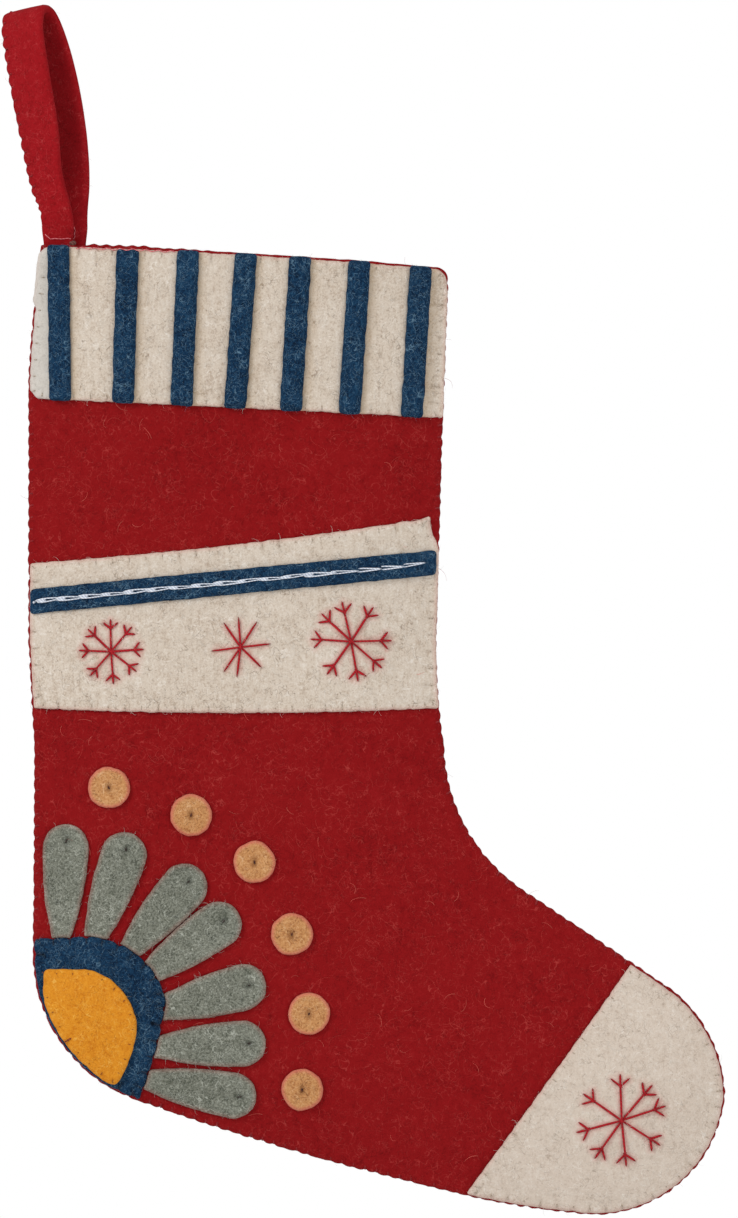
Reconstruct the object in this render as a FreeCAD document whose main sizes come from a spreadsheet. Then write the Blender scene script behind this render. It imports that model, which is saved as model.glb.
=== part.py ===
"""Hanging stocking in wool felt: two whip-stitched panels with felt ornament, on a folded felt loop.

Frame, in millimetres: +X towards the toe, +Z up, -Y out of the decorated front. The origin is the hook seat,
the middle of the loop's inside at its top. Each driving size is one cell of the sheet "sizes".
"""
import FreeCAD, Part
import math
import os

import Sketcher

Vector = FreeCAD.Vector

# Every driving size: alias, millimetres (degrees where the note says so), what it is.
SIZES = [
    ("corner_offset", 5.2, "mouth's heel-side corner, across from the hook seat"),
    ("corner_drop", 95.1, "mouth's heel-side corner, below the hook seat"),
    ("felt_thick", 2.5, "felt of the two panels"),
    ("applique_thick", 2.0, "felt of every ornament"),
    ("layer_gap", 0.2, "air between stacked felts"),
    ("seam_gap", 0.3, "air between the two panels along their seam"),
    ("front_puff", 9.5, "how far the front panel stands out from its seam"),
    ("back_puff", 11.5, "how far the back panel stands out from its seam"),
    ("puff_reach", 55.0, "distance from the seam at which a panel stands out fully"),
    ("edge_margin", 1.0, "panel left showing outside the ornaments"),
    ("sun_margin", 1.9, "the same outside the rosette's core"),
    # the stocking's outline, from the mouth's heel-side corner
    ("mouth_width", 171.0, "mouth, corner to corner"),
    ("mouth_drop", 9.4, "fall of the mouth towards the toe side"),
    ("mouth_radius", 3300.0, "crown of the mouth's edge"),
    ("corner_radius", 5.5, "rounding of the toe-side corner"),
    ("back_bow", 5.6, "how far the back edge swells past the corner"),
    ("back_top_radius", 640.0, "swell of the back edge beside the cuff"),
    ("bow_start", 55.0, "depth at which the back edge is widest"),
    ("bow_end", 167.0, "depth at which it starts to pull in"),
    ("ankle_bow", 3.0, "the same swell at the ankle"),
    ("ankle_depth", 213.2, "depth of the ankle"),
    ("heel_bow", 3.7, "the same where the heel starts to turn"),
    ("leg_height", 301.0, "depth at which the heel starts to turn"),
    ("front_in", 168.5, "front edge under the cuff"),
    ("front_depth", 81.6, "depth of that point"),
    ("waist_in", 166.0, "front edge at its narrowest"),
    # the foot, its depths counted from the heel's start
    ("waist_rise", 135.4, "front edge's narrowest point, above the heel's start"),
    ("instep_top_in", 169.3, "where the instep's curve starts, across"),
    ("instep_top_rise", 89.9, "the same, above the heel's start"),
    ("instep_radius", 75.4, "instep's curve"),
    ("shin_radius", 275.0, "the gentler curve above it, up to the narrowest point"),
    ("instep_in", 206.0, "where the instep's curve ends, across"),
    ("instep_rise", 27.2, "the same, above the heel's start"),
    ("heel_radius", 65.0, "heel's curve"),
    ("heel_in", 41.6, "where the heel meets the sole, across"),
    ("heel_drop", 59.6, "the same, below the heel's start"),
    ("sole_sag_radius", 1130.0, "sag of the long sole"),
    ("sole_in", 165.2, "end of the long sole, across"),
    ("sole_drop", 95.8, "the same, below the heel's start"),
    ("sole_radius", 343.0, "sole's curve under the toes"),
    ("toe_low_in", 225.0, "lowest point of the toe, across"),
    ("toe_low_drop", 106.6, "the same, below the heel's start"),
    ("toe_radius", 54.7, "toe's lower curve"),
    ("toe_tip_in", 287.7, "tip of the toe, across"),
    ("toe_tip_drop", 56.3, "the same, below the heel's start"),
    ("toe_cap_radius", 58.0, "toe's upper curve"),
    ("toe_top_in", 264.6, "where the toe meets the instep's slope, across"),
    ("toe_top_drop", 12.1, "the same, below the heel's start"),
    # hanging loop: a strip folded lengthwise, bent round and caught between the panels
    ("strip_width", 19.0, "folded strip, across"),
    ("strip_thick", 4.0, "folded strip, both plies"),
    ("loop_open", 19.5, "between the middles of the loop's legs at the widest"),
    ("loop_turn", 33.0, "turn of the loop about its length, degrees"),
    ("loop_bow", 2.0, "how far the loop bows towards the toe side halfway up"),
    ("fold_rise", 8.8, "fold line of the loop's root above the mouth's corner"),
    ("fold_gap", 0.3, "how far the loop's rounded root stands out past its plies"),
    ("tail_drop", 0.9, "top of the pressed ends below the plies' reach at the root"),
    ("tail_width", 17.4, "pressed ends of the strip, across"),
    ("tail_thick", 6.0, "pressed ends, both together"),
    ("tail_depth", 15.0, "how far the ends reach below the mouth"),
    ("tail_margin", 0.9, "tail's edge inside the back edge"),
    ("tail_gap", 0.3, "air between the tail and each panel"),
    # cuff
    ("cuff_height", 64.5, "cuff at the heel side"),
    ("cuff_fall", 8.0, "fall of the cuff's lower edge towards the toe side"),
    ("stripe_width", 8.9, "blue stripe"),
    ("stripe_short", 0.6, "cuff left bare below a stripe"),
    # ankle band
    ("band_top", 134.2, "band's upper edge at the heel side, below the corner"),
    ("band_peak_in", 162.5, "band's upper point at the toe side, across"),
    ("band_peak", 115.3, "the same, below the corner"),
    ("band_side_in", 167.0, "band's toe-side edge where it reaches the seam, across"),
    ("band_side", 132.0, "the same, below the corner"),
    ("band_bottom", 194.6, "band's lower edge, below the corner"),
    ("band_sag_radius", 1900.0, "sag of the band's two long edges"),
    ("ribbon_width", 10.0, "blue strip along the band"),
    ("ribbon_start", 151.6, "middle of the blue strip where its pattern starts, below the corner"),
    ("ribbon_slope", 5.5, "its slope, degrees"),
    # toe patch
    ("patch_top_in", 247.8, "patch's straight edge at the instep, across"),
    ("patch_top_drop", 2.4, "the same, below the heel's start"),
    ("patch_low_in", 179.3, "patch's straight edge at the sole, across"),
    ("patch_low_drop", 97.8, "the same, below the heel's start"),
    # heel rosette, from the heel's start at the back edge
    ("rosette_in", 8.8, "middle of the rosette, across"),
    ("rosette_drop", 32.3, "the same, below the heel's start"),
    ("disc_rise", 41.5, "blue disc's flat top above the rosette's middle"),
    ("disc_flat", 3.2, "end of that flat, across from the middle"),
    ("disc_shoulder_in", 43.4, "end of the disc's shoulder, across from the middle"),
    ("disc_shoulder", 15.8, "the same, above the middle"),
    ("disc_radius", 34.0, "disc's shoulder curve"),
    ("disc_foot_in", 32.2, "disc's edge at the sole, across from the middle"),
    ("disc_foot", 25.4, "the same, below the middle"),
    ("disc_side_radius", 177.0, "disc's side curve"),
    ("sun_rise", 28.6, "yellow core's top, above the middle"),
    ("sun_flat", 11.4, "end of the core's top, across from the middle"),
    ("sun_side_in", 31.5, "core's widest point, across from the middle"),
    ("sun_side", 4.4, "the same, above the middle"),
    ("sun_radius", 27.0, "core's shoulder curve"),
    ("sun_foot_in", 22.3, "core's edge at the sole, across from the middle"),
    ("sun_foot", 20.6, "the same, below the middle"),
    ("sun_side_radius", 60.0, "core's side curve"),
    ("petal_reach", 43.0, "foot of a petal from the rosette's middle"),
    ("petal_length", 45.0, "petal, foot to tip"),
    ("petal_width", 19.0, "petal near its round end"),
    ("petal_gap", 0.5, "panel left showing between disc and petals"),
    ("dot_ring", 105.0, "dots from the rosette's middle"),
    ("dot_radius", 8.6, "tan dot"),
    # thread
    ("thread_radius", 0.4, "all sewing thread"),
    ("thread_gap", 0.1, "air between thread and felt"),
    ("seam_pitch", 5.0, "whip stitches of the seam"),
    ("seam_bite", 0.7, "reach of a seam stitch over the felt"),
    ("tick_pitch", 7.0, "stitches round the ornaments"),
    ("tick_length", 3.0, "reach of those stitches into the ornament"),
    ("tick_inset", 0.3, "their start inside the ornament's edge"),
    ("loop_pitch", 5.4, "whip stitches of the loop"),
    ("loop_slack", 0.25, "slack of the loop's stitches where the strip turns"),
    ("link_length", 9.0, "one link of the chain stitch"),
    ("link_width", 2.6, "the same, across"),
    ("link_pitch", 9.5, "chain stitch, link to link"),
    ("tack_length", 2.2, "single stitch that holds a petal or dot"),
    ("flake_arm", 12.0, "arm of an embroidered flake"),
    ("flake_prong", 4.0, "prong at an arm's end"),
]

# Blue cuff stripes: middle line at the pattern's top and at the cuff's lower edge, in mouth widths, laid by
# hand.
STRIPES = [
    (0.0417, 0.0468), (0.2178, 0.2018), (0.367, 0.3456), (0.5125, 0.4772), (0.6455, 0.6142),
    (0.7916, 0.7582), (0.9423, 0.9113),
]

# Petals from the rosette's middle: angle of the foot and its reach (in petal_reach), angle of the axis,
# length (in petal_length) and width at the foot (in petal_width). Angles in degrees.
PETALS = [
    (90.8, 0.9488, 86.9, 1.0822, 0.3474), (71.7, 1.0047, 70.7, 1.0511, 0.4579),
    (52.5, 1.0953, 49.1, 0.9844, 0.4842), (36.6, 1.107, 35.0, 0.96, 0.5263),
    (16.3, 1.0442, 15.0, 0.9711, 0.5316), (-5.6, 0.9535, 2.7, 0.9933, 0.4632),
    (-26.8, 0.9233, -10.2, 1.0356, 0.4211),
]

# Dots from the rosette's middle: angle in degrees, reach in dot_ring.
DOTS = [
    (79.4, 1.019), (59.9, 1.0314), (42.4, 1.0438), (24.3, 1.0095), (5.6, 0.9933), (-12.2, 0.9829),
]

# Embroidered flakes: across and down, in mouth_width and band_bottom, or in toe_tip_in and toe_tip_drop on
# the foot; reach of an arm in flake_arm, prong at its end in flake_prong (none on a plain star); the arms'
# angles as sewn, in degrees.
FLAKES = [
    ("snowflake_left", (0.1725, 0.8787), False, (0.8, 0.85), (91, 50, 4, -38, -86, -131, 178, 136)),
    ("star_middle", (0.4906, 0.869), False, (0.8917, 0.0), (94, 57, 6, -44, -97, -124, 188, 125)),
    ("snowflake_right", (0.762, 0.8566), False, (1.0333, 1.0), (103, 57, 1, -41, -80, -126, 177, 137)),
    ("toe_snowflake", (0.8478, 1.1883), True, (1.2, 1.1), (92, 49, 18, -33, -84, -125, 195, 145)),
]

# Fixed choices that are no size of the stocking.
GRID_STEP = 12.0        # spacing of the points that a felt surface runs through
LOOP_SECTIONS = 37      # sections of the strip round the loop
LOOP_TAPER = 0.7        # how pointed the loop is at its root: 0 is an oval
LOOP_FULLNESS = 0.75    # how full it is at its top: 1 is an oval, less is fuller
TURN_SHARE = 0.35       # share of the loop's length over which it turns out of the mouth's line
TAIL_EASE = 20.0        # distance over which the panels close again round the tail
PETAL_TUCK = 6.0        # a petal's foot, cut back where the disc lies
BEYOND = 15.0           # how far an ornament's pattern runs past the outline that trims it
DISC_SLANT = 9.0        # how far the disc's lower side leans back past the sole
SUN_SLANT = 6.0         # the same for its core
MOUTH_RUN = 1.5         # how far the swell is carried past the mouth, in reaches of the swell
SEAM_SLOPE = 2          # steepness of the swell at the seam
SPARE_DEPTH = 6         # depth of a pattern's block, in thicknesses of the whole stocking
LOOP_BARE = 2.5         # stitches left out at each end of the loop's open edge
LAY_STEPS = 6           # places along a stitch where the felt below it is measured
LOOP_STEPS = 720        # steps along the loop when it is measured for its stitches
KNOT_ROOM = 4.8         # start of a flake's arm from its middle, in thread radii
PRONG_ROOM = 3.0        # start of a prong from the arm's end, in thread radii
PRONG_LEAN = 50.0       # the outer prongs' angle from their arm, degrees
TACK_SHARE = 0.36       # a petal's tack from its round end, in petal widths
TANGENT_STEP = 0.01     # step along the loop that its direction is taken over, radians
PROBE = 0.5             # how far inside an edge a point is tried
TOUCH = 1e-6            # nearness at which a point counts as on a face's edge


class Size:
    """A length with the sheet formula that it comes from, so that what it drives stays tied to the sheet."""

    def __init__(self, value, formula):
        self.value = value
        self.formula = formula

    def __add__(self, other):
        other = as_size(other)
        return Size(self.value + other.value, f"{self.formula} + {other.formula}")

    def __sub__(self, other):
        other = as_size(other)
        return Size(self.value - other.value, f"{self.formula} - ({other.formula})")

    def __neg__(self):
        return Size(-self.value, f"-({self.formula})")

    def __mul__(self, factor):
        return Size(self.value * factor, f"({self.formula}) * {factor}")


def as_size(number):
    """A Size as it is, or a plain number turned into one."""
    if isinstance(number, Size):
        return number
    return Size(number, f"({number})")


def share_of(name, share):
    """Sheet formula for a share of another row."""
    return f"={name} * {share}"


def hand_laid_rows():
    """Rows of the ornaments that are laid by hand, each tied to the size that it goes with."""
    rows = []
    for number, (top, low) in enumerate(STRIPES, 1):
        rows.append((f"stripe_{number}_top", share_of("mouth_width", top), "stripe's middle at its top"))
        rows.append((f"stripe_{number}_low", share_of("mouth_width", low), "the same, at its foot"))
    for number, (foot_angle, foot, axis_angle, length, foot_width) in enumerate(PETALS, 1):
        rows.append((f"petal_{number}_foot_angle", foot_angle, "angle of the petal's foot, degrees"))
        rows.append((f"petal_{number}_foot", share_of("petal_reach", foot), "its reach from the middle"))
        rows.append((f"petal_{number}_angle", axis_angle, "angle of the petal's axis, degrees"))
        rows.append((f"petal_{number}_length", share_of("petal_length", length), "foot to tip"))
        rows.append((f"petal_{number}_foot_width", share_of("petal_width", foot_width), "petal at its foot"))
    for number, (angle, reach) in enumerate(DOTS, 1):
        rows.append((f"dot_{number}_angle", angle, "angle of the dot, degrees"))
        rows.append((f"dot_{number}_reach", share_of("dot_ring", reach), "its reach from the middle"))
    for name, (across, below), in_foot, (arm, prong), _ in FLAKES:
        sizes = ("toe_tip_in", "toe_tip_drop") if in_foot else ("mouth_width", "band_bottom")
        rows.append((f"{name}_in", share_of(sizes[0], across), "middle of the flake, across"))
        rows.append((f"{name}_drop", share_of(sizes[1], below), "the same, down"))
        rows.append((f"{name}_arm", share_of("flake_arm", arm), "reach of an arm"))
        rows.append((f"{name}_prong", share_of("flake_prong", prong), "prong at the arm's end"))
    return rows


def build_sheet(doc):
    """The sheet of driving sizes, one row each: alias, size and what it is."""
    sheet = doc.addObject("Spreadsheet::Sheet", "sizes")
    for row, (name, value, note) in enumerate(SIZES + hand_laid_rows(), 1):
        sheet.set(f"A{row}", name)
        sheet.set(f"B{row}", str(value))
        sheet.setAlias(f"B{row}", name)
        sheet.set(f"C{row}", note)
    doc.recompute()
    return sheet


doc = FreeCAD.newDocument("hanging_stocking")
sheet = build_sheet(doc)
nodes = []


def size(name):
    """A size of the sheet, with the formula that names it."""
    return Size(float(sheet.get(name)), f"sizes.{name}")


def value(name):
    """A size of the sheet as a number."""
    return size(name).value


def bind(thing, prop, length):
    """Tie one property of an object to the sheet."""
    thing.setExpression(prop, as_size(length).formula)


def node(thing, label):
    """Name a finished piece and keep it for the hand-out."""
    thing.Label = label
    nodes.append(thing)
    return thing


# ---- where things are ----

def at(across, depth):
    """A point given from the mouth's heel-side corner: across towards the toe, and down."""
    return size("corner_offset") + across, -size("corner_drop") - depth


def at_foot(across, drop):
    """The same, with the depth counted from where the heel starts to turn."""
    return at(across, size("leg_height") + drop)


def at_rosette(across, rise):
    """A point given from the middle of the heel rosette."""
    return at_foot(size("rosette_in") + across, size("rosette_drop") - rise)


def polar(reach, angle):
    """Across and rise of a point at this reach and angle (degrees) from the rosette's middle."""
    turn = math.radians(angle)
    return reach * math.cos(turn), reach * math.sin(turn)


# ---- outlines: lists of (across, up, bend to the next point), anticlockwise in the front view ----

def left(radius):
    """An arc whose middle lies left of the way the outline runs: the outline swells."""
    return radius, 1


def right(radius):
    """An arc whose middle lies right of it: the outline is hollow there."""
    return radius, -1


def corner(point, bend=None):
    """One corner of an outline, and how its edge bends on the way to the next."""
    return point[0], point[1], bend


def stocking_edge():
    """The sewn edge, from the mouth's heel-side corner down, round the foot and up to the other corner."""
    return [
        corner(at(0, 0), left(size("back_top_radius"))),
        corner(at(-size("back_bow"), size("bow_start"))),
        corner(at(-size("back_bow"), size("bow_end"))),
        corner(at(-size("ankle_bow"), size("ankle_depth"))),
        corner(at_foot(-size("heel_bow"), 0), left(size("heel_radius"))),
        corner(at_foot(size("heel_in"), size("heel_drop")), left(size("sole_sag_radius"))),
        corner(at_foot(size("sole_in"), size("sole_drop")), left(size("sole_radius"))),
        corner(at_foot(size("toe_low_in"), size("toe_low_drop")), left(size("toe_radius"))),
        corner(at_foot(size("toe_tip_in"), size("toe_tip_drop")), left(size("toe_cap_radius"))),
        corner(at_foot(size("toe_top_in"), size("toe_top_drop"))),
        corner(at_foot(size("instep_in"), -size("instep_rise")), right(size("instep_radius"))),
        corner(at_foot(size("instep_top_in"), -size("instep_top_rise")), right(size("shin_radius"))),
        corner(at_foot(size("waist_in"), -size("waist_rise"))),
        corner(at(size("front_in"), size("front_depth"))),
    ]


def stocking_outline():
    """The whole outline: the sewn edge, the rounded toe-side corner and the crowned mouth."""
    radius = size("corner_radius")
    return stocking_edge() + [
        corner(at(size("mouth_width"), size("mouth_drop") + radius), left(radius)),
        corner(at(size("mouth_width") - radius, size("mouth_drop")), left(size("mouth_radius"))),
    ]


def seam_outline():
    """The sewn edge carried straight up past the mouth, which stays open between the panels."""
    above = size("puff_reach") * -MOUTH_RUN
    edge = stocking_edge()
    return [corner(at(0, above))] + edge + [
        corner(at(size("mouth_width"), size("mouth_drop"))),
        corner(at(size("mouth_width"), above)),
    ]


def cuff_outline():
    """The cuff's pattern; the stocking's outline trims it on three sides."""
    return [
        corner(at(-BEYOND, -BEYOND)),
        corner(at(-BEYOND, size("cuff_height"))),
        corner(at(0, size("cuff_height"))),
        corner(at(size("mouth_width"), size("cuff_height") + size("cuff_fall"))),
        corner(at(size("mouth_width") + BEYOND, size("cuff_height") + size("cuff_fall"))),
        corner(at(size("mouth_width") + BEYOND, -BEYOND)),
    ]


def stripe_outline(number):
    """One blue stripe, from past the mouth to the cuff's lower edge, which it follows."""
    half = size("stripe_width") * 0.5
    top = size(f"stripe_{number}_top")
    low = size(f"stripe_{number}_low")
    end = size("cuff_height") - size("stripe_short")
    falls = [size("cuff_fall") * (edge.value / value("mouth_width")) for edge in (low - half, low + half)]
    return [
        corner(at(top - half, -BEYOND)),
        corner(at(low - half, end + falls[0])),
        corner(at(low + half, end + falls[1])),
        corner(at(top + half, -BEYOND)),
    ]


def band_outline():
    """The ankle band: two long sagging edges and a pointed upper corner on the toe side."""
    sag = size("band_sag_radius")
    return [
        corner(at(-size("back_bow"), size("band_top"))),
        corner(at(-BEYOND, size("band_top"))),
        corner(at(-BEYOND, size("band_bottom"))),
        corner(at(-size("ankle_bow"), size("band_bottom")), left(sag)),
        corner(at(size("waist_in"), size("band_bottom"))),
        corner(at(size("mouth_width") + BEYOND, size("band_bottom"))),
        corner(at(size("mouth_width") + BEYOND, size("band_side"))),
        corner(at(size("band_side_in"), size("band_side"))),
        corner(at(size("band_peak_in"), size("band_peak")), right(sag)),
    ]


def patch_outline():
    """The toe patch, from its straight edge to past the toe."""
    return [
        corner(at_foot(size("patch_top_in"), size("patch_top_drop") - BEYOND)),
        corner(at_foot(size("patch_top_in"), size("patch_top_drop"))),
        corner(at_foot(size("patch_low_in"), size("patch_low_drop"))),
        corner(at_foot(size("patch_low_in"), size("toe_low_drop") + BEYOND)),
        corner(at_foot(size("toe_tip_in") + BEYOND, size("toe_low_drop") + BEYOND)),
        corner(at_foot(size("toe_tip_in") + BEYOND, size("patch_top_drop") - BEYOND)),
    ]


def disc_outline():
    """The blue disc: flat top, round shoulder, and a slack side down to the sole."""
    out = -size("heel_radius")
    return [
        corner(at_rosette(out, size("disc_rise"))),
        corner(at_rosette(out, out)),
        corner(at_rosette(size("disc_foot_in") - DISC_SLANT, out)),
        corner(at_rosette(size("disc_foot_in"), -size("disc_foot")), left(size("disc_side_radius"))),
        corner(at_rosette(size("disc_shoulder_in"), size("disc_shoulder")), left(size("disc_radius"))),
        corner(at_rosette(size("disc_flat"), size("disc_rise"))),
    ]


def sun_outline():
    """The yellow core, much like the disc and smaller."""
    out = -size("heel_radius")
    return [
        corner(at_rosette(out, size("sun_rise"))),
        corner(at_rosette(out, out)),
        corner(at_rosette(size("sun_foot_in") - SUN_SLANT, out)),
        corner(at_rosette(size("sun_foot_in"), -size("sun_foot")), left(size("sun_side_radius"))),
        corner(at_rosette(size("sun_side_in"), size("sun_side")), left(size("sun_radius"))),
        corner(at_rosette(size("sun_flat"), size("sun_rise"))),
    ]


def petal_outline(number):
    """A petal along its own axis from its foot: sides that swell into a half-round end."""
    length = size(f"petal_{number}_length")
    half = size("petal_width") * 0.5
    foot = size(f"petal_{number}_foot_width") * 0.5
    straight = length - half
    flare = half - foot
    side = Size((straight.value ** 2 + flare.value ** 2) / (2 * flare.value),
                f"(({straight.formula})^2 + ({flare.formula})^2) / (2 * ({flare.formula}))")
    nothing = as_size(0)
    return [
        corner((nothing, -foot), left(side)),
        corner((straight, -half), left(half)),
        corner((length, nothing), left(half)),
        corner((straight, half), left(side)),
        corner((nothing, foot)),
        corner((-as_size(PETAL_TUCK), foot)),
        corner((-as_size(PETAL_TUCK), -foot)),
    ]


# ---- from an outline to a sketch or a flat face ----

def edge_curve(start, end, bend):
    """The line or arc from start to end in the sketch's plane, and which of its ends is the start."""
    if bend is None:
        return Part.LineSegment(start, end), 1
    radius, side = bend
    chord = end - start
    across = Vector(-chord.y, chord.x, 0).normalize()
    rise = math.sqrt(radius.value ** 2 - (chord.Length / 2) ** 2)
    middle = (start + end) * 0.5 + across * (side * rise)
    angles = [math.atan2(point.y - middle.y, point.x - middle.x) for point in (start, end)]
    if side < 0:
        angles.reverse()
    if angles[1] < angles[0]:
        angles[1] += 2 * math.pi
    arc = Part.ArcOfCircle(Part.Circle(middle, Vector(0, 0, 1), radius.value), angles[0], angles[1])
    return arc, 1 if side > 0 else 2


def outline_curves(outline):
    """The curves of an outline, each with the end that the outline comes in at."""
    points = [Vector(across.value, up.value, 0) for across, up, _ in outline]
    curves = []
    for index, (_, _, bend) in enumerate(outline):
        curves.append(edge_curve(points[index], points[(index + 1) % len(points)], bend))
    return curves


def flat_face(outline):
    """An outline as a flat face, with up as the face's second direction."""
    return Part.Face(Part.Wire([curve.toShape() for curve, _ in outline_curves(outline)]))


def draw(sketch, outline):
    """Draw an outline in a sketch and tie every corner and radius to the sheet."""
    curves = outline_curves(outline)
    for curve, _ in curves:
        sketch.addGeometry(curve, False)
    for index, (_, first) in enumerate(curves):
        following = (index + 1) % len(curves)
        joint = Sketcher.Constraint("Coincident", index, 3 - first, following, curves[following][1])
        sketch.addConstraint(joint)
    for index, (across, up, bend) in enumerate(outline):
        first = curves[index][1]
        for kind, length in (("DistanceX", across), ("DistanceY", up)):
            row = sketch.addConstraint(Sketcher.Constraint(kind, -1, 1, index, first, length.value))
            sketch.setExpression(f"Constraints[{row}]", length.formula)
        if bend:
            row = sketch.addConstraint(Sketcher.Constraint("Radius", index, bend[0].value))
            sketch.setExpression(f"Constraints[{row}]", bend[0].formula)


def front_sketch(body, name):
    """A sketch in a body's own front plane."""
    plane = next(part for part in body.Origin.OriginFeatures if part.Role == "XZ_Plane")
    sketch = body.newObject("Sketcher::SketchObject", name)
    sketch.AttachmentSupport = [(plane, "")]
    sketch.MapMode = "FlatFace"
    return sketch


def pattern(name, outline):
    """An ornament's pattern as a block through the whole stocking, front to back."""
    body = doc.addObject("PartDesign::Body", f"{name}_pattern")
    sketch = front_sketch(body, f"{name}_sketch")
    draw(sketch, outline)
    pad = body.newObject("PartDesign::Pad", f"{name}_pad")
    pad.Profile = sketch
    pad.SideType = "Symmetric"
    bind(pad, "Length", pattern_depth())
    return body


def pattern_depth():
    """Deep enough to pass every layer of the front and the back, measured both ways from the seam."""
    felt = size("felt_thick") + size("applique_thick")
    return (size("front_puff") + size("back_puff") + felt) * SPARE_DEPTH


def block(name, profile):
    """A flat profile of the whole stocking as a block of the same depth."""
    solid = doc.addObject("Part::Extrusion", name)
    solid.Base = profile
    solid.DirMode = "Custom"
    solid.Dir = Vector(0, -1, 0)
    solid.Solid = True
    solid.Symmetric = True
    bind(solid, "LengthFwd", pattern_depth())
    return solid


def inset(name, profile, margin):
    """The stocking's profile drawn in by a margin."""
    offset = doc.addObject("Part::Offset2D", name)
    offset.Source = profile
    offset.Fill = False
    bind(offset, "Value", -size(margin))
    return offset


# ---- how the felt stands out ----

class Swell:
    """How far each panel stands out from the seam's plane, at any point of the front view."""

    def __init__(self):
        self.face = flat_face(seam_outline())
        self.wire = self.face.OuterWire
        self.known = {}
        tail_x, mouth = at(size("tail_margin") + size("tail_width") * 0.5, 0)
        self.tail = (tail_x.value, mouth.value - value("tail_depth") / 2)
        self.ease = 2 * TAIL_EASE ** 2
        far = (value("tail_width") / 2) ** 2 + (value("tail_depth") / 2) ** 2
        spare = value("tail_thick") / 2 + value("tail_gap") - value("seam_gap") / 2
        self.spread = spare * math.exp(far / self.ease)

    def depth(self, across, up):
        """Distance inside the sewn edge, negative outside it."""
        key = (round(across, 3), round(up, 3))
        if key not in self.known:
            point = Vector(across, up, 0)
            gap = self.wire.distToShape(Part.Vertex(point))[0]
            self.known[key] = gap if self.face.isInside(point, TOUCH, True) else -gap
        return self.known[key]

    def height(self, across, up, puff):
        """Stand-out of a panel's inner face: nothing at the seam, the full puff well inside.

        The panels stand further apart where they hold the loop's tail.

        Outside the seam the surface keeps its slope, so that it stays smooth up to the edge.
        """
        share = self.depth(across, up) / value("puff_reach")
        if share <= 0:
            rise = SEAM_SLOPE * share
        elif share < 1:
            rise = 1 - (1 - share) ** SEAM_SLOPE
        else:
            rise = 1
        away = (across - self.tail[0]) ** 2 + (up - self.tail[1]) ** 2
        return puff * rise + self.spread * math.exp(-away / self.ease) + value("seam_gap") / 2


swell = Swell()


def layer_lift(level):
    """From a panel's inner face to a layer's near face: 0 is the panel, 1 an ornament, 2 one on top."""
    if level == 0:
        return 0.0
    below = value("felt_thick") + (level - 1) * value("applique_thick")
    return below + level * value("layer_gap")


def front_top(across, up, level):
    """Front view point on the outer face of a front layer."""
    thick = value("applique_thick") if level else value("felt_thick")
    out = swell.height(across, up, value("front_puff")) + layer_lift(level) + thick
    return Vector(across, -out, up)


def back_top(across, up):
    """Front view point on the outer face of the back panel."""
    return Vector(across, swell.height(across, up, value("back_puff")) + value("felt_thick"), up)


def felt_sheet(name, level, puff, side):
    """An untrimmed layer of felt: side -1 is the front, 1 the back."""
    box = swell.face.BoundBox
    top = at(0, 0)[1].value + GRID_STEP
    columns = math.ceil((box.XLength + 2 * GRID_STEP) / GRID_STEP)
    rows = math.ceil((top - box.YMin + GRID_STEP) / GRID_STEP)
    lift = layer_lift(level)
    grid = []
    for column in range(columns + 1):
        across = box.XMin - GRID_STEP + column * GRID_STEP
        line = []
        for row in range(rows + 1):
            up = box.YMin - GRID_STEP + row * GRID_STEP
            line.append(Vector(across, side * (swell.height(across, up, puff) + lift), up))
        grid.append(line)
    surface = Part.BSplineSurface()
    surface.interpolate(grid)
    thick = value("applique_thick") if level else value("felt_thick")
    sheet_of_felt = doc.addObject("Part::Feature", name)
    sheet_of_felt.Shape = surface.toShape().extrude(Vector(0, side * thick, 0))
    return sheet_of_felt


def common(label, *parts):
    """What all the parts share."""
    shared = doc.addObject("Part::MultiCommon", label)
    shared.Shapes = list(parts)
    return shared


# ---- felt pieces ----

outline = doc.addObject("Sketcher::SketchObject", "outline")
outline.Placement = FreeCAD.Placement(Vector(0, 0, 0), FreeCAD.Rotation(Vector(1, 0, 0), 90))
draw(outline, stocking_outline())
doc.recompute()

whole = block("whole", outline)
ornament_limit = block("ornament_limit", inset("ornament_edge", outline, "edge_margin"))
sun_limit = block("sun_limit", inset("sun_edge", outline, "sun_margin"))
front_felt = felt_sheet("front_felt", 0, value("front_puff"), -1)
back_felt = felt_sheet("back_felt", 0, value("back_puff"), 1)
first_layer = felt_sheet("first_layer", 1, value("front_puff"), -1)
second_layer = felt_sheet("second_layer", 2, value("front_puff"), -1)


def build_panels():
    """The two panels of red felt."""
    node(common("front_panel_felt", whole, front_felt), "front_panel")
    node(common("back_panel_felt", whole, back_felt), "back_panel")


def build_cuff():
    """Cream cuff with seven blue strips."""
    cuff = pattern("cuff", cuff_outline())
    node(common("cuff_felt", cuff, ornament_limit, first_layer), "cuff_band")
    for number in range(1, len(STRIPES) + 1):
        stripe = pattern(f"stripe_{number}", stripe_outline(number))
        node(common(f"stripe_{number}_felt", stripe, ornament_limit, second_layer), f"cuff_stripe_{number}")


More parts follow.
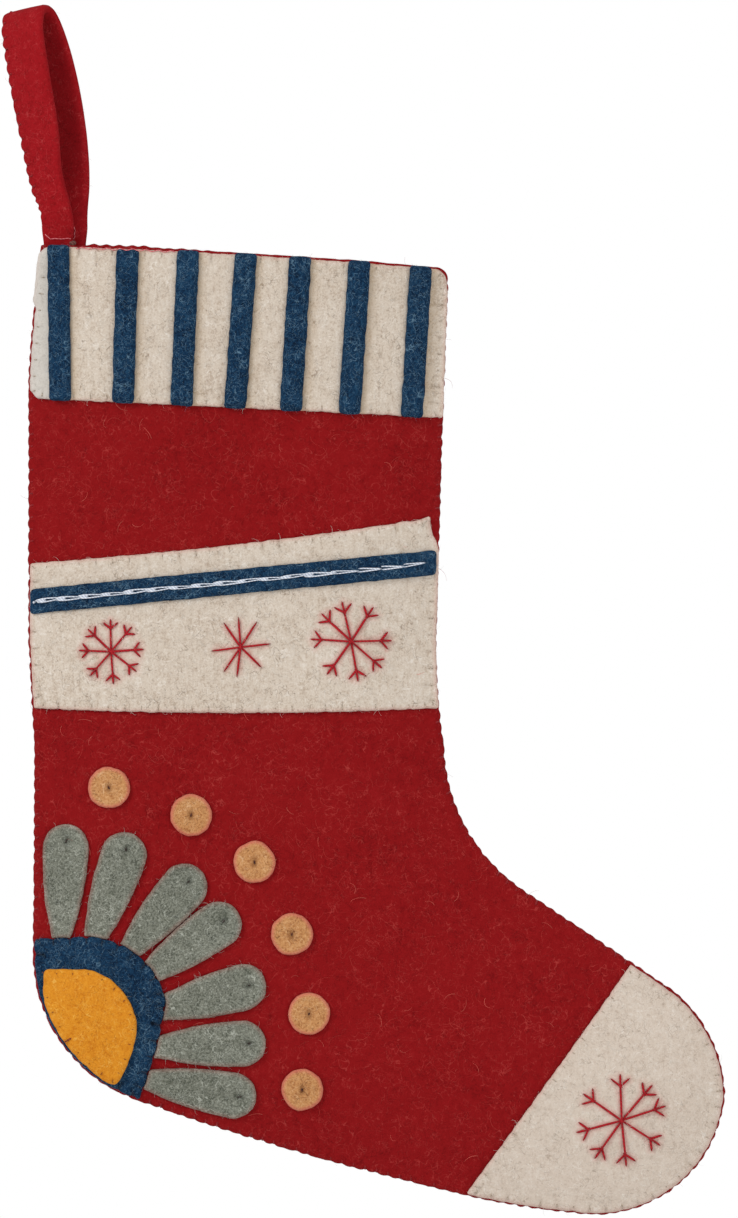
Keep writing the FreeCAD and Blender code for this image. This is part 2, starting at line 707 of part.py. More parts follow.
def build_band():
    """Cream ankle band with the blue strip sewn along it."""
    band = pattern("band", band_outline())
    node(common("band_felt", band, ornament_limit, first_layer), "ankle_band")
    strip = doc.addObject("Part::Box", "ribbon_block")
    start = ribbon_start()
    bind(strip, "Length", size("mouth_width") + size("back_bow") + 2 * BEYOND)
    bind(strip, "Width", pattern_depth())
    bind(strip, "Height", size("ribbon_width"))
    bind(strip, "Placement.Base.x", start[0])
    bind(strip, "Placement.Base.y", -pattern_depth() * 0.5)
    bind(strip, "Placement.Base.z", start[1] - size("ribbon_width") * 0.5)
    strip.Placement.Rotation = FreeCAD.Rotation(Vector(0, -1, 0), value("ribbon_slope"))
    bind(strip, "Placement.Rotation.Angle", size("ribbon_slope"))
    node(common("ribbon_felt", strip, ornament_limit, second_layer), "ribbon_strip")


def ribbon_start():
    """Middle of the blue strip's pattern at its heel-side end, past the outline that trims it."""
    return at(-size("back_bow") - BEYOND, size("ribbon_start"))


def build_toe():
    """Cream patch over the toe."""
    patch = pattern("patch", patch_outline())
    node(common("patch_felt", patch, ornament_limit, first_layer), "toe_patch")


def build_rosette():
    """Blue disc and yellow core cut off by the heel, petals fanned round them, and a ring of dots."""
    disc = pattern("disc", disc_outline())
    node(common("disc_felt", disc, ornament_limit, first_layer), "heel_disc")
    sun = pattern("sun", sun_outline())
    node(common("sun_felt", sun, sun_limit, second_layer), "heel_sun")
    doc.recompute()
    clear = doc.addObject("Part::Offset", "disc_clearance")
    clear.Source = disc
    clear.Join = 2
    bind(clear, "Value", size("petal_gap"))
    for number in range(1, len(PETALS) + 1):
        build_petal(number, clear)
    for number in range(1, len(DOTS) + 1):
        build_dot(number)


def build_petal(number, clear):
    """One petal, its foot butted against the disc."""
    petal = pattern(f"petal_{number}", petal_outline(number))
    foot = polar(value(f"petal_{number}_foot"), value(f"petal_{number}_foot_angle"))
    across, up = at_rosette(*foot)
    petal.Placement = FreeCAD.Placement(Vector(across.value, 0, up.value),
                                        FreeCAD.Rotation(Vector(0, -1, 0), value(f"petal_{number}_angle")))
    felt = common(f"petal_{number}_felt", petal, ornament_limit, first_layer)
    cut = doc.addObject("Part::Cut", f"petal_{number}_trimmed")
    cut.Base = felt
    cut.Tool = clear
    node(cut, f"petal_{number}")


def build_dot(number):
    """One round dot of the ring."""
    dot = doc.addObject("Part::Cylinder", f"dot_{number}_pattern")
    bind(dot, "Radius", size("dot_radius"))
    bind(dot, "Height", pattern_depth())
    across, up = at_rosette(*polar(value(f"dot_{number}_reach"), value(f"dot_{number}_angle")))
    forward = FreeCAD.Rotation(Vector(1, 0, 0), 90)
    dot.Placement = FreeCAD.Placement(Vector(across.value, 0, up.value), forward)
    node(common(f"dot_{number}_felt", dot, first_layer), f"dot_{number}")


# ---- the hanging loop ----

def fold_point():
    """The fold line's middle, where the loop's root leaves the mouth."""
    across, up = at(size("tail_margin") + size("tail_width") * 0.5, -size("fold_rise"))
    return Vector(across.value, 0, up.value)


class LoopPath:
    """The middle line of the strip round the loop, leaning from the fold line up to the hook seat."""

    def __init__(self):
        self.root = fold_point()
        self.up = Vector(-self.root.x, 0, -self.root.z).normalize()
        self.length = self.root.Length + value("strip_thick") / 2
        widest = math.acos(-LOOP_TAPER / (2 * LOOP_FULLNESS + LOOP_TAPER))
        self.reach = (value("loop_open") - value("strip_thick")) / 2 / self.shape(widest)

    @staticmethod
    def shape(angle):
        """Half width of the loop, 0 at the root and the top."""
        side = math.sin(angle)
        full = math.copysign(abs(side) ** LOOP_FULLNESS, side)
        return full * abs(math.sin(angle / 2)) ** LOOP_TAPER

    def frame(self, rise):
        """Directions at a height: across the strip, and from one leg to the other."""
        share = min(1.0, max(0.0, rise / (TURN_SHARE * self.length)))
        share = share * share * (3 - 2 * share)
        turn = math.radians(value("loop_turn")) * share
        side = Vector(1, 0, 0) * (1 - share) + Vector(0, 1, 0).cross(self.up) * share
        side.normalize()
        back = Vector(0, 1, 0)
        return side * math.cos(turn) - back * math.sin(turn), side * math.sin(turn) + back * math.cos(turn)

    def point(self, angle):
        """Point of the middle line: angle runs from 0 at the root, over the top, to a full turn."""
        rise = self.length * (1 - math.cos(angle)) / 2
        _, apart = self.frame(rise)
        legs = (value("strip_thick") + value("seam_gap")) / 2
        half = self.reach * self.shape(angle) + legs * math.cos(angle / 2)
        share = rise / self.length
        bow = Vector(4 * share * (1 - share) * value("loop_bow"), 0, 0)
        return self.root + self.up * rise + apart * half + bow

    def section(self, angle):
        """Middle, width direction and thickness direction of the strip at an angle."""
        ahead = self.point(min(angle + TANGENT_STEP, 2 * math.pi))
        behind = self.point(max(angle - TANGENT_STEP, 0))
        rise = self.length * (1 - math.cos(angle)) / 2
        wide, _ = self.frame(rise)
        thick = (ahead - behind).cross(wide).normalize()
        return self.point(angle), wide, thick


loop_path = LoopPath()


def build_loop():
    """The folded strip bent round, its root rounded about the fold line."""
    sections = []
    for index in range(LOOP_SECTIONS):
        middle, wide, thick = loop_path.section(2 * math.pi * index / (LOOP_SECTIONS - 1))
        wide = wide * (value("strip_width") / 2)
        thick = thick * (value("strip_thick") / 2)
        ring = [middle - wide - thick, middle + wide - thick, middle + wide + thick, middle - wide + thick]
        sections.append(Part.makePolygon(ring + ring[:1]))
    strip = doc.addObject("Part::Feature", "loop_strip")
    strip.Shape = Part.makeLoft(sections, True, True)
    knuckle = doc.addObject("Part::Cylinder", "loop_knuckle")
    bind(knuckle, "Radius", size("strip_thick") + size("fold_gap"))
    bind(knuckle, "Height", size("strip_width"))
    knuckle.Placement = FreeCAD.Placement(loop_path.root - Vector(value("strip_width") / 2, 0, 0),
                                          FreeCAD.Rotation(Vector(0, 1, 0), 90))
    loop = doc.addObject("Part::MultiFuse", "loop_fused")
    loop.Shapes = [strip, knuckle]
    node(loop, "hanging_loop")


def build_tail():
    """The strip's two pressed ends between the panels, up to just below the fold line."""
    tail = doc.addObject("Part::Box", "tail_block")
    start = at(size("tail_margin"), size("tail_depth"))
    bind(tail, "Length", size("tail_width"))
    bind(tail, "Width", size("tail_thick"))
    bind(tail, "Height", size("tail_depth") + size("fold_rise") - size("strip_thick") - size("tail_drop"))
    bind(tail, "Placement.Base.x", start[0])
    bind(tail, "Placement.Base.y", -size("tail_thick") * 0.5)
    bind(tail, "Placement.Base.z", start[1])
    node(tail, "loop_tail")


# ---- thread ----

def threads(label, pieces):
    """Loose pieces of thread as one node of separate solids."""
    sewn = doc.addObject("Part::Feature", f"{label}_thread")
    sewn.Shape = Part.makeCompound(pieces)
    node(sewn, label)


def lay(start, end, level):
    """A straight stitch on a front layer between two points of the front view, clear of the swell."""
    first = front_top(start.x, start.y, level)
    last = front_top(end.x, end.y, level)
    swells = [0.0]
    for step in range(1, LAY_STEPS):
        share = step / LAY_STEPS
        point = start + (end - start) * share
        straight = first + (last - first) * share
        swells.append(straight.y - front_top(point.x, point.y, level).y)
    lift = Vector(0, -(value("thread_radius") + value("thread_gap") + max(swells)), 0)
    return Part.makeCylinder(value("thread_radius"), (last - first).Length, first + lift, last - first)


def staple(foot, out, across, low, high):
    """A whip stitch round an edge: foot on the edge, out of the felt, and from low to high across it."""
    thread = 2 * value("thread_radius")
    gap = value("thread_gap")
    bite = value("seam_bite")
    outer = gap + thread
    turns = [(-bite, low - outer), (outer, low - outer), (outer, high + outer), (-bite, high + outer),
             (-bite, high + gap), (gap, high + gap), (gap, low - gap), (-bite, low - gap)]
    along = out.cross(across)
    points = [foot + out * reach + across * height - along * (thread / 2) for reach, height in turns]
    return Part.Face(Part.makePolygon(points + points[:1])).extrude(along * thread)


def walk(wire, pitch):
    """Evenly spaced points along a closed wire, with the direction of travel at each."""
    count = max(3, round(wire.Length / pitch))
    points = wire.discretize(Number=count + 1)[:-1]
    steps = []
    for index, point in enumerate(points):
        steps.append((point, (points[(index + 1) % count] - points[index - 1]).normalize()))
    return steps


def inward(face, point, travel):
    """The direction that leads from a face's edge into it."""
    turned = Vector(-travel.y, travel.x, 0)
    return turned if face.isInside(point + turned * PROBE, TOUCH, True) else -turned


def build_seam_stitches():
    """Whip stitches over both panels, all round the sewn edge; the mouth has none."""
    face = flat_face(stocking_outline())
    mouth = flat_face(mouth_strip())
    pieces = []
    for point, travel in walk(face.OuterWire, value("seam_pitch")):
        if mouth.isInside(point, TOUCH, True):
            continue
        into = inward(face, point, travel)
        bitten = point + into * value("seam_bite")
        near = front_top(bitten.x, bitten.y, 0).y
        far = back_top(bitten.x, bitten.y).y
        out = Vector(-into.x, 0, -into.y)
        pieces.append(staple(Vector(point.x, 0, point.y), out, Vector(0, 1, 0), near, far))
    threads("seam_stitches", pieces)


def mouth_strip():
    """The strip of the front view round the mouth's edge."""
    reach = size("corner_radius") * 0.5
    return [
        corner(at(-BEYOND, -BEYOND)),
        corner(at(-BEYOND, reach)),
        corner(at(size("mouth_width") + BEYOND, size("mouth_drop") + reach)),
        corner(at(size("mouth_width") + BEYOND, -BEYOND)),
    ]


def cut_face(outline_points, margin):
    """An ornament as it lies in the front view, trimmed by the drawn-in outline of the stocking."""
    limit = Part.Face(flat_face(stocking_outline()).OuterWire.makeOffset2D(-value(margin)))
    return flat_face(outline_points).common(limit).Faces[0]


def build_ticks(label, face, level, covers):
    """Short stitches square to an ornament's edge, all round it but where another ornament covers them."""
    clearance = 2 * value("thread_radius")
    pieces = []
    for point, travel in walk(face.OuterWire, value("tick_pitch")):
        into = inward(face, point, travel)
        start = point + into * value("tick_inset")
        end = point + into * value("tick_length")
        tick = Part.makeLine(start, end)
        if all(cover.distToShape(tick)[0] > clearance for cover in covers):
            pieces.append(lay(start, end, level))
    threads(label, pieces)


def ribbon_face():
    """The blue strip in the front view."""
    across, up = ribbon_start()
    slope = math.radians(value("ribbon_slope"))
    along = Vector(math.cos(slope), math.sin(slope), 0) * (value("mouth_width") + 2 * BEYOND)
    half = Vector(0, value("ribbon_width") / 2, 0)
    start = Vector(across.value, up.value, 0)
    ring = [start - half, start + along - half, start + along + half, start + half]
    return Part.Face(Part.makePolygon(ring + ring[:1]))


def build_all_ticks():
    """The stitches round every ornament that is sewn down at its edge."""
    stripes = [flat_face(stripe_outline(number)) for number in range(1, len(STRIPES) + 1)]
    sun = cut_face(sun_outline(), "sun_margin")
    build_ticks("cuff_stitches", cut_face(cuff_outline(), "edge_margin"), 1, stripes)
    build_ticks("ankle_band_stitches", cut_face(band_outline(), "edge_margin"), 1, [ribbon_face()])
    build_ticks("toe_patch_stitches", cut_face(patch_outline(), "edge_margin"), 1, [])
    build_ticks("heel_disc_stitches", cut_face(disc_outline(), "edge_margin"), 1, [sun])
    build_ticks("heel_sun_stitches", sun, 2, [])


def build_loop_stitches():
    """Whip stitches over the strip's open edge, all round the loop."""
    half_wide = value("strip_width") / 2 + value("loop_slack")
    half_thick = value("strip_thick") / 2 + value("loop_slack")
    pieces = []
    for angle in loop_stitch_angles():
        middle, wide, thick = loop_path.section(angle)
        pieces.append(staple(middle - wide * half_wide, -wide, thick, -half_thick, half_thick))
    threads("loop_edge_stitches", pieces)


def loop_stitch_angles():
    """Angles of the loop that lie one stitch apart along the strip, clear of its root."""
    pitch = value("loop_pitch")
    angles = [2 * math.pi * index / LOOP_STEPS for index in range(LOOP_STEPS + 1)]
    points = [loop_path.point(angle) for angle in angles]
    travelled = [0.0]
    for index in range(LOOP_STEPS):
        travelled.append(travelled[-1] + (points[index + 1] - points[index]).Length)
    chosen = []
    due = LOOP_BARE * pitch
    for angle, way in zip(angles, travelled):
        if due <= way <= travelled[-1] - LOOP_BARE * pitch:
            chosen.append(angle)
            due += pitch
    return chosen


def build_chain():
    """Chain stitch along the middle of the blue strip: one flat link after another."""
    slope = math.radians(value("ribbon_slope"))
    along = Vector(math.cos(slope), math.sin(slope), 0)
    across, up = ribbon_start()
    start = Vector(across.value, up.value, 0) + along * (BEYOND + value("link_length"))
    radius = value("link_width") / 2
    half = value("link_length") / 2
    count = int(value("front_in") / value("link_pitch"))
    pieces = []
    for index in range(count):
        middle = start + along * (index * value("link_pitch"))
        pieces.append(chain_link(middle, along, half, radius))
    threads("ribbon_chain_stitch", pieces)


def chain_link(middle, along, half, radius):
    """One link: a long ring lying on the second layer."""
    thread = 2 * value("thread_radius")
    rings = []
    for edge in (radius, radius - thread):
        reach = half - radius
        low, high = Vector(-reach, -edge, 0), Vector(-reach, edge, 0)
        right_low, right_high = Vector(reach, -edge, 0), Vector(reach, edge, 0)
        rings.append(Part.Face(Part.Wire([
            Part.LineSegment(low, right_low).toShape(),
            Part.Arc(right_low, Vector(reach + edge, 0, 0), right_high).toShape(),
            Part.LineSegment(right_high, high).toShape(),
            Part.Arc(high, Vector(-reach - edge, 0, 0), low).toShape(),
        ])))
    ring = rings[0].cut(rings[1]).Faces[0].extrude(Vector(0, 0, thread))
    across = Vector(-along.y, along.x, 0)
    ends = [middle - along * half, middle + along * half]
    sides = [middle - across * radius, middle + across * radius]
    ends = [front_top(point.x, point.y, 2) for point in ends]
    sides = [front_top(point.x, point.y, 2) for point in sides]
    lengthwise = ends[1] - ends[0]
    crosswise = sides[1] - sides[0]
    turn = FreeCAD.Rotation(lengthwise, crosswise, lengthwise.cross(crosswise), "XZY")
    place = (ends[0] + ends[1]) * 0.5 + Vector(0, -value("thread_gap") * 2, 0)
    ring.Placement = FreeCAD.Placement(place, turn)
    return ring


def build_flakes():
    """The embroidered flakes: straight arms from a small knot, most with three prongs at the end."""
    for name, (across, below), in_foot, (arm, prong), angles in FLAKES:
        place = at_foot if in_foot else at
        middle = [length.value for length in place(size(f"{name}_in"), size(f"{name}_drop"))]
        middle = Vector(middle[0], middle[1], 0)
        reach = value(f"{name}_arm")
        pieces = [lay_knot(middle)]
        for angle in angles:
            way = heading(angle)
            pieces.append(lay(middle + way * (value("thread_radius") * KNOT_ROOM), middle + way * reach, 1))
            if prong:
                pieces += prongs(middle + way * reach, angle, value(f"{name}_prong"))
        threads(name, pieces)


def heading(angle):
    """Unit direction of the front view at an angle in degrees."""
    return Vector(math.cos(math.radians(angle)), math.sin(math.radians(angle)), 0)


def prongs(knot, angle, length):
    """Three short stitches fanned from an arm's end."""
    start = value("thread_radius") * PRONG_ROOM
    ways = [heading(angle + lean) for lean in (-PRONG_LEAN, 0, PRONG_LEAN)]
    return [lay(knot + way * start, knot + way * length, 1) for way in ways]


def lay_knot(middle):
    """The stitch where the arms cross."""
    width = value("thread_radius")
    return lay(middle - heading(0) * width, middle + heading(0) * width, 1)


def build_tacks():
    """One small stitch near the round end of each petal and one in the middle of each dot."""
    half = value("tack_length") / 2
    petals = []
    for number in range(1, len(PETALS) + 1):
        foot = polar(value(f"petal_{number}_foot"), value(f"petal_{number}_foot_angle"))
        point = at_rosette(*foot)
        way = heading(value(f"petal_{number}_angle"))
        middle = Vector(point[0].value, point[1].value, 0)
        middle = middle + way * (value(f"petal_{number}_length") - value("petal_width") * TACK_SHARE)
        petals.append(lay(middle - way * half, middle + way * half, 1))
    threads("petal_tacks", petals)
    dots = []
    for number in range(1, len(DOTS) + 1):
        point = at_rosette(*polar(value(f"dot_{number}_reach"), value(f"dot_{number}_angle")))
        middle = Vector(point[0].value, point[1].value, 0)
        dots.append(lay(middle - heading(90) * half, middle + heading(90) * half, 1))
    threads("dot_tacks", dots)


# ---- build, test and hand out ----

def check(thing):
    """Stop at a failed object or a broken shape."""
    if "Invalid" in thing.State or "Error" in thing.State:
        raise RuntimeError(f"{thing.Label} failed: {thing.State}")


def write_parts():
    """Write every node's shape to its own file, once everything is sound."""
    for thing in doc.Objects:
        check(thing)
    for thing in nodes:
        if thing.Shape.isNull() or not thing.Shape.isValid() or not thing.Shape.Solids:
            raise RuntimeError(f"{thing.Label} has no sound shape")
    os.makedirs("parts", exist_ok=True)
    for thing in nodes:
        thing.Shape.exportStep(f"parts/{thing.Label}.step")
        print(f"{thing.Label}: {len(thing.Shape.Solids)} solid(s), {thing.Shape.Volume / 1000:.2f} cm3")


build_panels()
build_cuff()
build_band()
build_toe()
build_rosette()
build_loop()
build_tail()
build_seam_stitches()
build_loop_stitches()
build_all_ticks()
build_chain()
build_flakes()
build_tacks()
doc.recompute()
write_parts()
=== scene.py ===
"""Hanging felt stocking: wool felt panels and ornament, embroidery, whip stitches, a folded felt loop."""
import math
import random

import bmesh
import bpy
import numpy as np
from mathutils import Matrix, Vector, geometry, kdtree, noise
from mathutils.bvhtree import BVHTree


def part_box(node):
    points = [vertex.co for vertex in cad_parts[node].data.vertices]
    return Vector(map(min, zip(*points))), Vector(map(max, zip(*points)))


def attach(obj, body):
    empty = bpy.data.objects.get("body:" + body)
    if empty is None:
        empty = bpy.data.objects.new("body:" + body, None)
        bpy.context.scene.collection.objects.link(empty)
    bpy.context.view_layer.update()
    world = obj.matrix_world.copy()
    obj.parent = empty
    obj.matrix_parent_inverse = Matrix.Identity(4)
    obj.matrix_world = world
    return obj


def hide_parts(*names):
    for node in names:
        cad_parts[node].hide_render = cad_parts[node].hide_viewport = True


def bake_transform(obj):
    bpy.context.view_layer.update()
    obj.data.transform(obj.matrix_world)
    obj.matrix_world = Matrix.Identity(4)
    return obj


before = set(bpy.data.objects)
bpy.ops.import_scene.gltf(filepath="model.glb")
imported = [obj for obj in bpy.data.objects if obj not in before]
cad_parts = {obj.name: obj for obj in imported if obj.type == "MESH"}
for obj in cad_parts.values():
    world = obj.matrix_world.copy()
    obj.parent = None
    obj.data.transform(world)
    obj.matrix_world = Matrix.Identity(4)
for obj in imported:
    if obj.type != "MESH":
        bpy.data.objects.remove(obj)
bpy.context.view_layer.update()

MM = 0.001

# ---- how the stocking is cut and sewn, in millimetres unless it says otherwise ----

GRAIN = 1.9       # spacing of a felt piece's surface points
EDGE_ROWS = (0.45, 1.0, 1.8, 3.0)   # rows of points along a cut edge
EDGE_STEP = 0.9   # spacing along a cut edge
TUCKED = 0.55                       # share of its thickness that a thread has where it goes into the felt
FRONT, BACK = -1, 1
ACROSS, OUTWARDS, BACKWARDS = Vector((1, 0, 0)), Vector((0, -1, 0)), Vector((0, 1, 0))
LIE_EDGE = 22.0                     # how far in from the seam the panels lie flat
CUT_SOFTNESS = 0.22                 # how far a cut edge's middle stands out past its corners
DENT_WIDE, DUST_WIDE, SHADOW_WIDE = 1.15, 1.35, 3.0   # spread of a stitch's dent, a thread's dust, a painted stripe shadow
ROLL_REACH, ROLL_LIMIT = 1.7, 0.42  # how far in an edge rolls, by its depth, and its share of the thickness
SEAM_CLOSED = 1.8                   # how far in from the seam the stitches draw the panels together
SEAM_OVERLAP = 0.3                  # how far each panel's inner edge is pressed past the seam's middle
STITCH_REACH = 4.0                  # how far along the seam a stitch holds


def srgb(red, green, blue):
    """A colour as it is seen, 0 to 255 each, as the linear numbers that a shader takes."""
    parts = [part / 255 for part in (red, green, blue)]
    return tuple(p / 12.92 if p <= 0.04045 else ((p + 0.055) / 1.055) ** 2.4 for p in parts) + (1.0,)


# ---- materials ----

class Dye:
    """A wool felt's colours: body, hollows between fibres, worn tops, and pale and dark stray fibres."""

    def __init__(self, body, deep, pale, stray, stray_amount, dark, dark_amount, speckle, streaks=0.0):
        self.body, self.deep, self.pale = srgb(*body), srgb(*deep), srgb(*pale)
        self.stray, self.stray_amount = srgb(*stray), stray_amount
        self.dark, self.dark_amount = srgb(*dark), dark_amount
        self.speckle, self.streaks = speckle, streaks


DYES = {
    "red": Dye((137, 17, 20), (114, 9, 13), (152, 27, 30), (204, 84, 78), 0.30, (92, 8, 12), 0.30, 0.35),
    "loop": Dye((152, 19, 26), (126, 12, 16), (168, 32, 38), (208, 84, 84), 0.30, (98, 8, 13), 0.35, 0.40),
    "cream": Dye((211, 197, 181), (188, 170, 152), (225, 215, 203), (239, 232, 223), 0.55,
                 (128, 108, 90), 0.60, 0.62, 0.5),
    "toe": Dye((213, 198, 183), (197, 180, 164), (226, 216, 204), (240, 233, 224), 0.45,
               (140, 120, 102), 0.42, 0.50, 0.4),
    "blue": Dye((20, 50, 78), (9, 27, 47), (36, 72, 100), (112, 146, 168), 0.60, (6, 16, 30), 0.55, 0.85),
    "sage": Dye((120, 122, 110), (88, 91, 80), (150, 152, 140), (192, 195, 183), 0.66,
                (54, 58, 50), 0.64, 0.95),
    "yellow": Dye((219, 141, 38), (198, 116, 24), (232, 160, 52), (250, 204, 104), 0.42,
                  (150, 84, 18), 0.35, 0.55),
    "tan": Dye((195, 140, 90), (163, 107, 64), (216, 166, 115), (234, 194, 150), 0.50,
               (106, 62, 32), 0.65, 0.70),
}
# Marks painted into the felt's colour, by attribute: a label, how much of it shows, its colour, or none for
# the dye's dark.
# In turn: painted shade in the hollows where stitches press the felt, red dust from the threads, a painted
# cooler and paler light on the cuff's left edge, and painted warm shadow beside the cuff's stripes.
MARKS = {
    "pressed": ("hollows", 0.55, None), "tinted": ("thread dust", 0.42, srgb(212, 104, 100)),
    "washed": ("washed out", 0.55, srgb(206, 206, 202)), "aged": ("painted_shadow", 0.42, srgb(190, 160, 118)),
}
# Each sewing thread's lit and shaded colour.
TWISTS = {
    "seam": ((150, 24, 30), (120, 14, 19)), "flake": ((186, 16, 30), (142, 9, 20)),
    "tack": ((66, 54, 46), (40, 32, 28)), "knot": ((112, 66, 56), (76, 40, 36)),
    "cream": ((198, 183, 165), (160, 143, 124)), "chain": ((236, 240, 248), (190, 198, 214)),
    "rim": ((232, 138, 142), (200, 88, 96)), "blue": ((16, 38, 62), (8, 22, 40)),
    "brown": ((96, 46, 30), (56, 24, 16)), "sun": ((148, 72, 30), (112, 44, 20)),
}


class Nodes:
    """A node tree being put together: nodes are added by type, and their inputs set or joined."""

    def __init__(self, tree):
        self.tree = tree
        tree.nodes.clear()

    def add(self, kind, label="", settings=None, **values):
        """A node with settings. An input goes by its name, with _ for a space, or by i and its number."""
        made = self.tree.nodes.new(kind)
        made.label = label
        for key, setting in (settings or {}).items():
            setattr(made, key, setting)
        for key, value in values.items():
            by_number = key[0] == "i" and key[1:].isdigit()
            socket = made.inputs[int(key[1:]) if by_number else key.replace("_", " ")]
            if isinstance(value, bpy.types.NodeSocket):
                self.tree.links.new(value, socket)
            else:
                socket.default_value = value
        return made

    def math(self, operation, first, second=0.0, label=""):
        """Two values put together."""
        return self.add("ShaderNodeMath", label, {"operation": operation}, i0=first, i1=second).outputs[0]


class Paint(Nodes):
    """A material being put together."""

    def __init__(self, name):
        self.material = bpy.data.materials.new(name)
        self.material.use_nodes = True
        super().__init__(self.material.node_tree)
        self.where = self.add("ShaderNodeTexCoord", "place").outputs["Object"]

    def noise(self, label, scale, detail=2.0, rough=0.5, distortion=0.0, where=None):
        """A noise pattern's height, 0 to 1, at so many waves a metre."""
        return self.add("ShaderNodeTexNoise", label, Vector=where or self.where, Scale=scale, Detail=detail,
                        Roughness=rough, Distortion=distortion).outputs["Fac"]

    def ramp(self, label, value, low, high, to_low=0.0, to_high=1.0):
        """A value's rise from low to high, smooth at both ends."""
        return self.add("ShaderNodeMapRange", label, {"interpolation_type": "SMOOTHSTEP"}, Value=value,
                        From_Min=low, From_Max=high, To_Min=to_low, To_Max=to_high).outputs["Result"]

    def sum(self, label, *terms):
        """Heights added up, each by its share."""
        total, *others = [self.math("MULTIPLY", height, share) for height, share in terms]
        for other in others:
            total = self.math("ADD", total, other, label)
        return total

    def mix(self, label, share, first, second):
        """Two colours mixed by a share."""
        return self.add("ShaderNodeMix", label, {"data_type": "RGBA"}, Factor=share, i6=first,
                        i7=second).outputs[2]

    def arcs(self, label, scale, width, gate_scale, gate, where=None):
        """Thin curved fibres: the lines where a noise crosses its middle, broken up by a second noise."""
        field = self.noise(label + " course", scale, 1.0, 0.4, 0.6, where)
        off = self.math("ABSOLUTE", self.math("SUBTRACT", field, 0.5))
        line = self.ramp(label + " line", off, 0.0, width, 1.0, 0.0)
        gates = self.noise(label + " breaks", gate_scale, where=where)
        return self.math("MULTIPLY", line, self.ramp(label + " run", gates, gate, gate + 0.06), label)

    def moved(self, label, **values):
        """The piece's own coordinates, shifted or drawn out."""
        return self.add("ShaderNodeMapping", label, Vector=self.where, **values).outputs["Vector"]

    def mark(self, key):
        """How much of a mark the felt or thread carries there."""
        return self.add("ShaderNodeAttribute", key, {"attribute_name": key}).outputs["Fac"]

    def relief(self, label, strength, distance, height):
        """A height pattern as small relief."""
        return self.add("ShaderNodeBump", label, Strength=strength, Distance=distance,
                        Height=height).outputs["Normal"]

    def finished(self, label, **values):
        """The material with its surface."""
        surface = self.add("ShaderNodeBsdfPrincipled", label, **values)
        self.add("ShaderNodeOutputMaterial", "out", Surface=surface.outputs["BSDF"])
        return self.material


def felt_material(name, dye):
    """Wool felt: mottled body, tangled pale and dark fibres over it, and painted shade in the hollows where a
    stitch presses.
    """
    make = Paint(name)
    cloud = make.noise("cloud", 34, 3.0, 0.6)
    mottle = make.noise("mottle", 330, 3.0, 0.6)
    grain = make.noise("grain", 1250, 3.0, 0.7)
    streak = make.noise("streak", 620, 3.0, 0.6, where=make.moved("drawn upwards", Scale=(1.0, 1.0, 0.22)))
    speckle, streaks = dye.speckle * 0.95, dye.streaks * 0.5
    tone = make.sum("tone", (cloud, 0.16), (mottle, 0.26), (grain, speckle), (streak, streaks))
    middle = 0.5 * (0.42 + speckle + streaks)
    low = make.mix("body", make.ramp("deep share", tone, middle - 0.13, middle + 0.01), dye.deep, dye.body)
    high = make.ramp("pale share", tone, middle + 0.01, middle + 0.17)
    colour = make.mix("pale body", high, low, dye.pale)
    for turn, (size, width, share) in enumerate(((230, 0.013, 1.0), (310, 0.016, 0.9), (520, 0.026, 0.6))):
        aside = make.moved(f"aside {turn}", Location=(0.3 * turn, 0.17 * turn, 0.2))
        lines = make.arcs(f"stray {turn}", size, width, size * 0.5, 0.49, aside)
        shown = make.math("MULTIPLY", lines, dye.stray_amount * share)
        colour = make.mix(f"strays {turn}", shown, colour, dye.stray)
    shade = make.arcs("shade", 350, 0.022, 150, 0.50)
    colour = make.mix("shaded", make.math("MULTIPLY", shade, dye.dark_amount), colour, dye.dark)
    # the marks: thread dust, and painted shade, painted light and painted shadow, each by its attribute
    for key, (label, amount, over) in MARKS.items():
        colour = make.mix(label, make.math("MULTIPLY", make.mark(key), amount), colour, over or dye.dark)
    nap = make.sum("nap", (grain, 0.60), (mottle, 0.35), (shade, -0.18))
    return make.finished("felt", Base_Color=colour, Roughness=0.95, Specular_IOR_Level=0.1,
                         Normal=make.relief("nap relief", 0.55, 0.0007, nap), Sheen_Weight=0.06,
                         Sheen_Roughness=0.5, Sheen_Tint=dye.pale)


def thread_material(name, body, deep):
    """Twisted thread: two plies that show as slanted light and dark along it."""
    make = Paint(name)
    twist = make.add("ShaderNodeTexWave", "twist", {"bands_direction": "DIAGONAL"}, Vector=make.where,
                     Scale=420.0, Distortion=2.5, Detail=1.0).outputs["Fac"]
    tone = make.sum("tone", (twist, 0.5), (make.noise("lint", 1300), 0.5))
    colour = make.mix("plies", make.ramp("ply", tone, 0.25, 0.75), srgb(*deep), srgb(*body))
    # painted shade: the thread is darker towards its ends, where it goes into the felt
    shadowed = make.math("MULTIPLY", make.mark("end"), 0.7)
    colour = make.mix("sunk ends", shadowed, colour, srgb(*(part * 0.55 for part in deep)))
    return make.finished("thread", Base_Color=colour, Roughness=0.75,
                         Normal=make.relief("ply relief", 0.5, 0.0002, tone), Specular_IOR_Level=0.25,
                         Sheen_Weight=0.1)


def fibre_material(name, body):
    """Single wool fibres that stand off the felt."""
    make = Paint(name)
    body = srgb(*body)
    dull = tuple(part * 0.72 for part in body[:3]) + (1.0,)
    colour = make.mix("fibre colour", make.ramp("tone", make.noise("batch", 160), 0.35, 0.65), dull, body)
    return make.finished("wool", Base_Color=colour, Roughness=0.8, Specular_IOR_Level=0.2)


FELTS = {f"{name}_felt": felt_material(f"{name}_wool_felt", dye) for name, dye in DYES.items()}
THREADS = {name: thread_material(f"{name}_twist", *colours) for name, colours in TWISTS.items()}


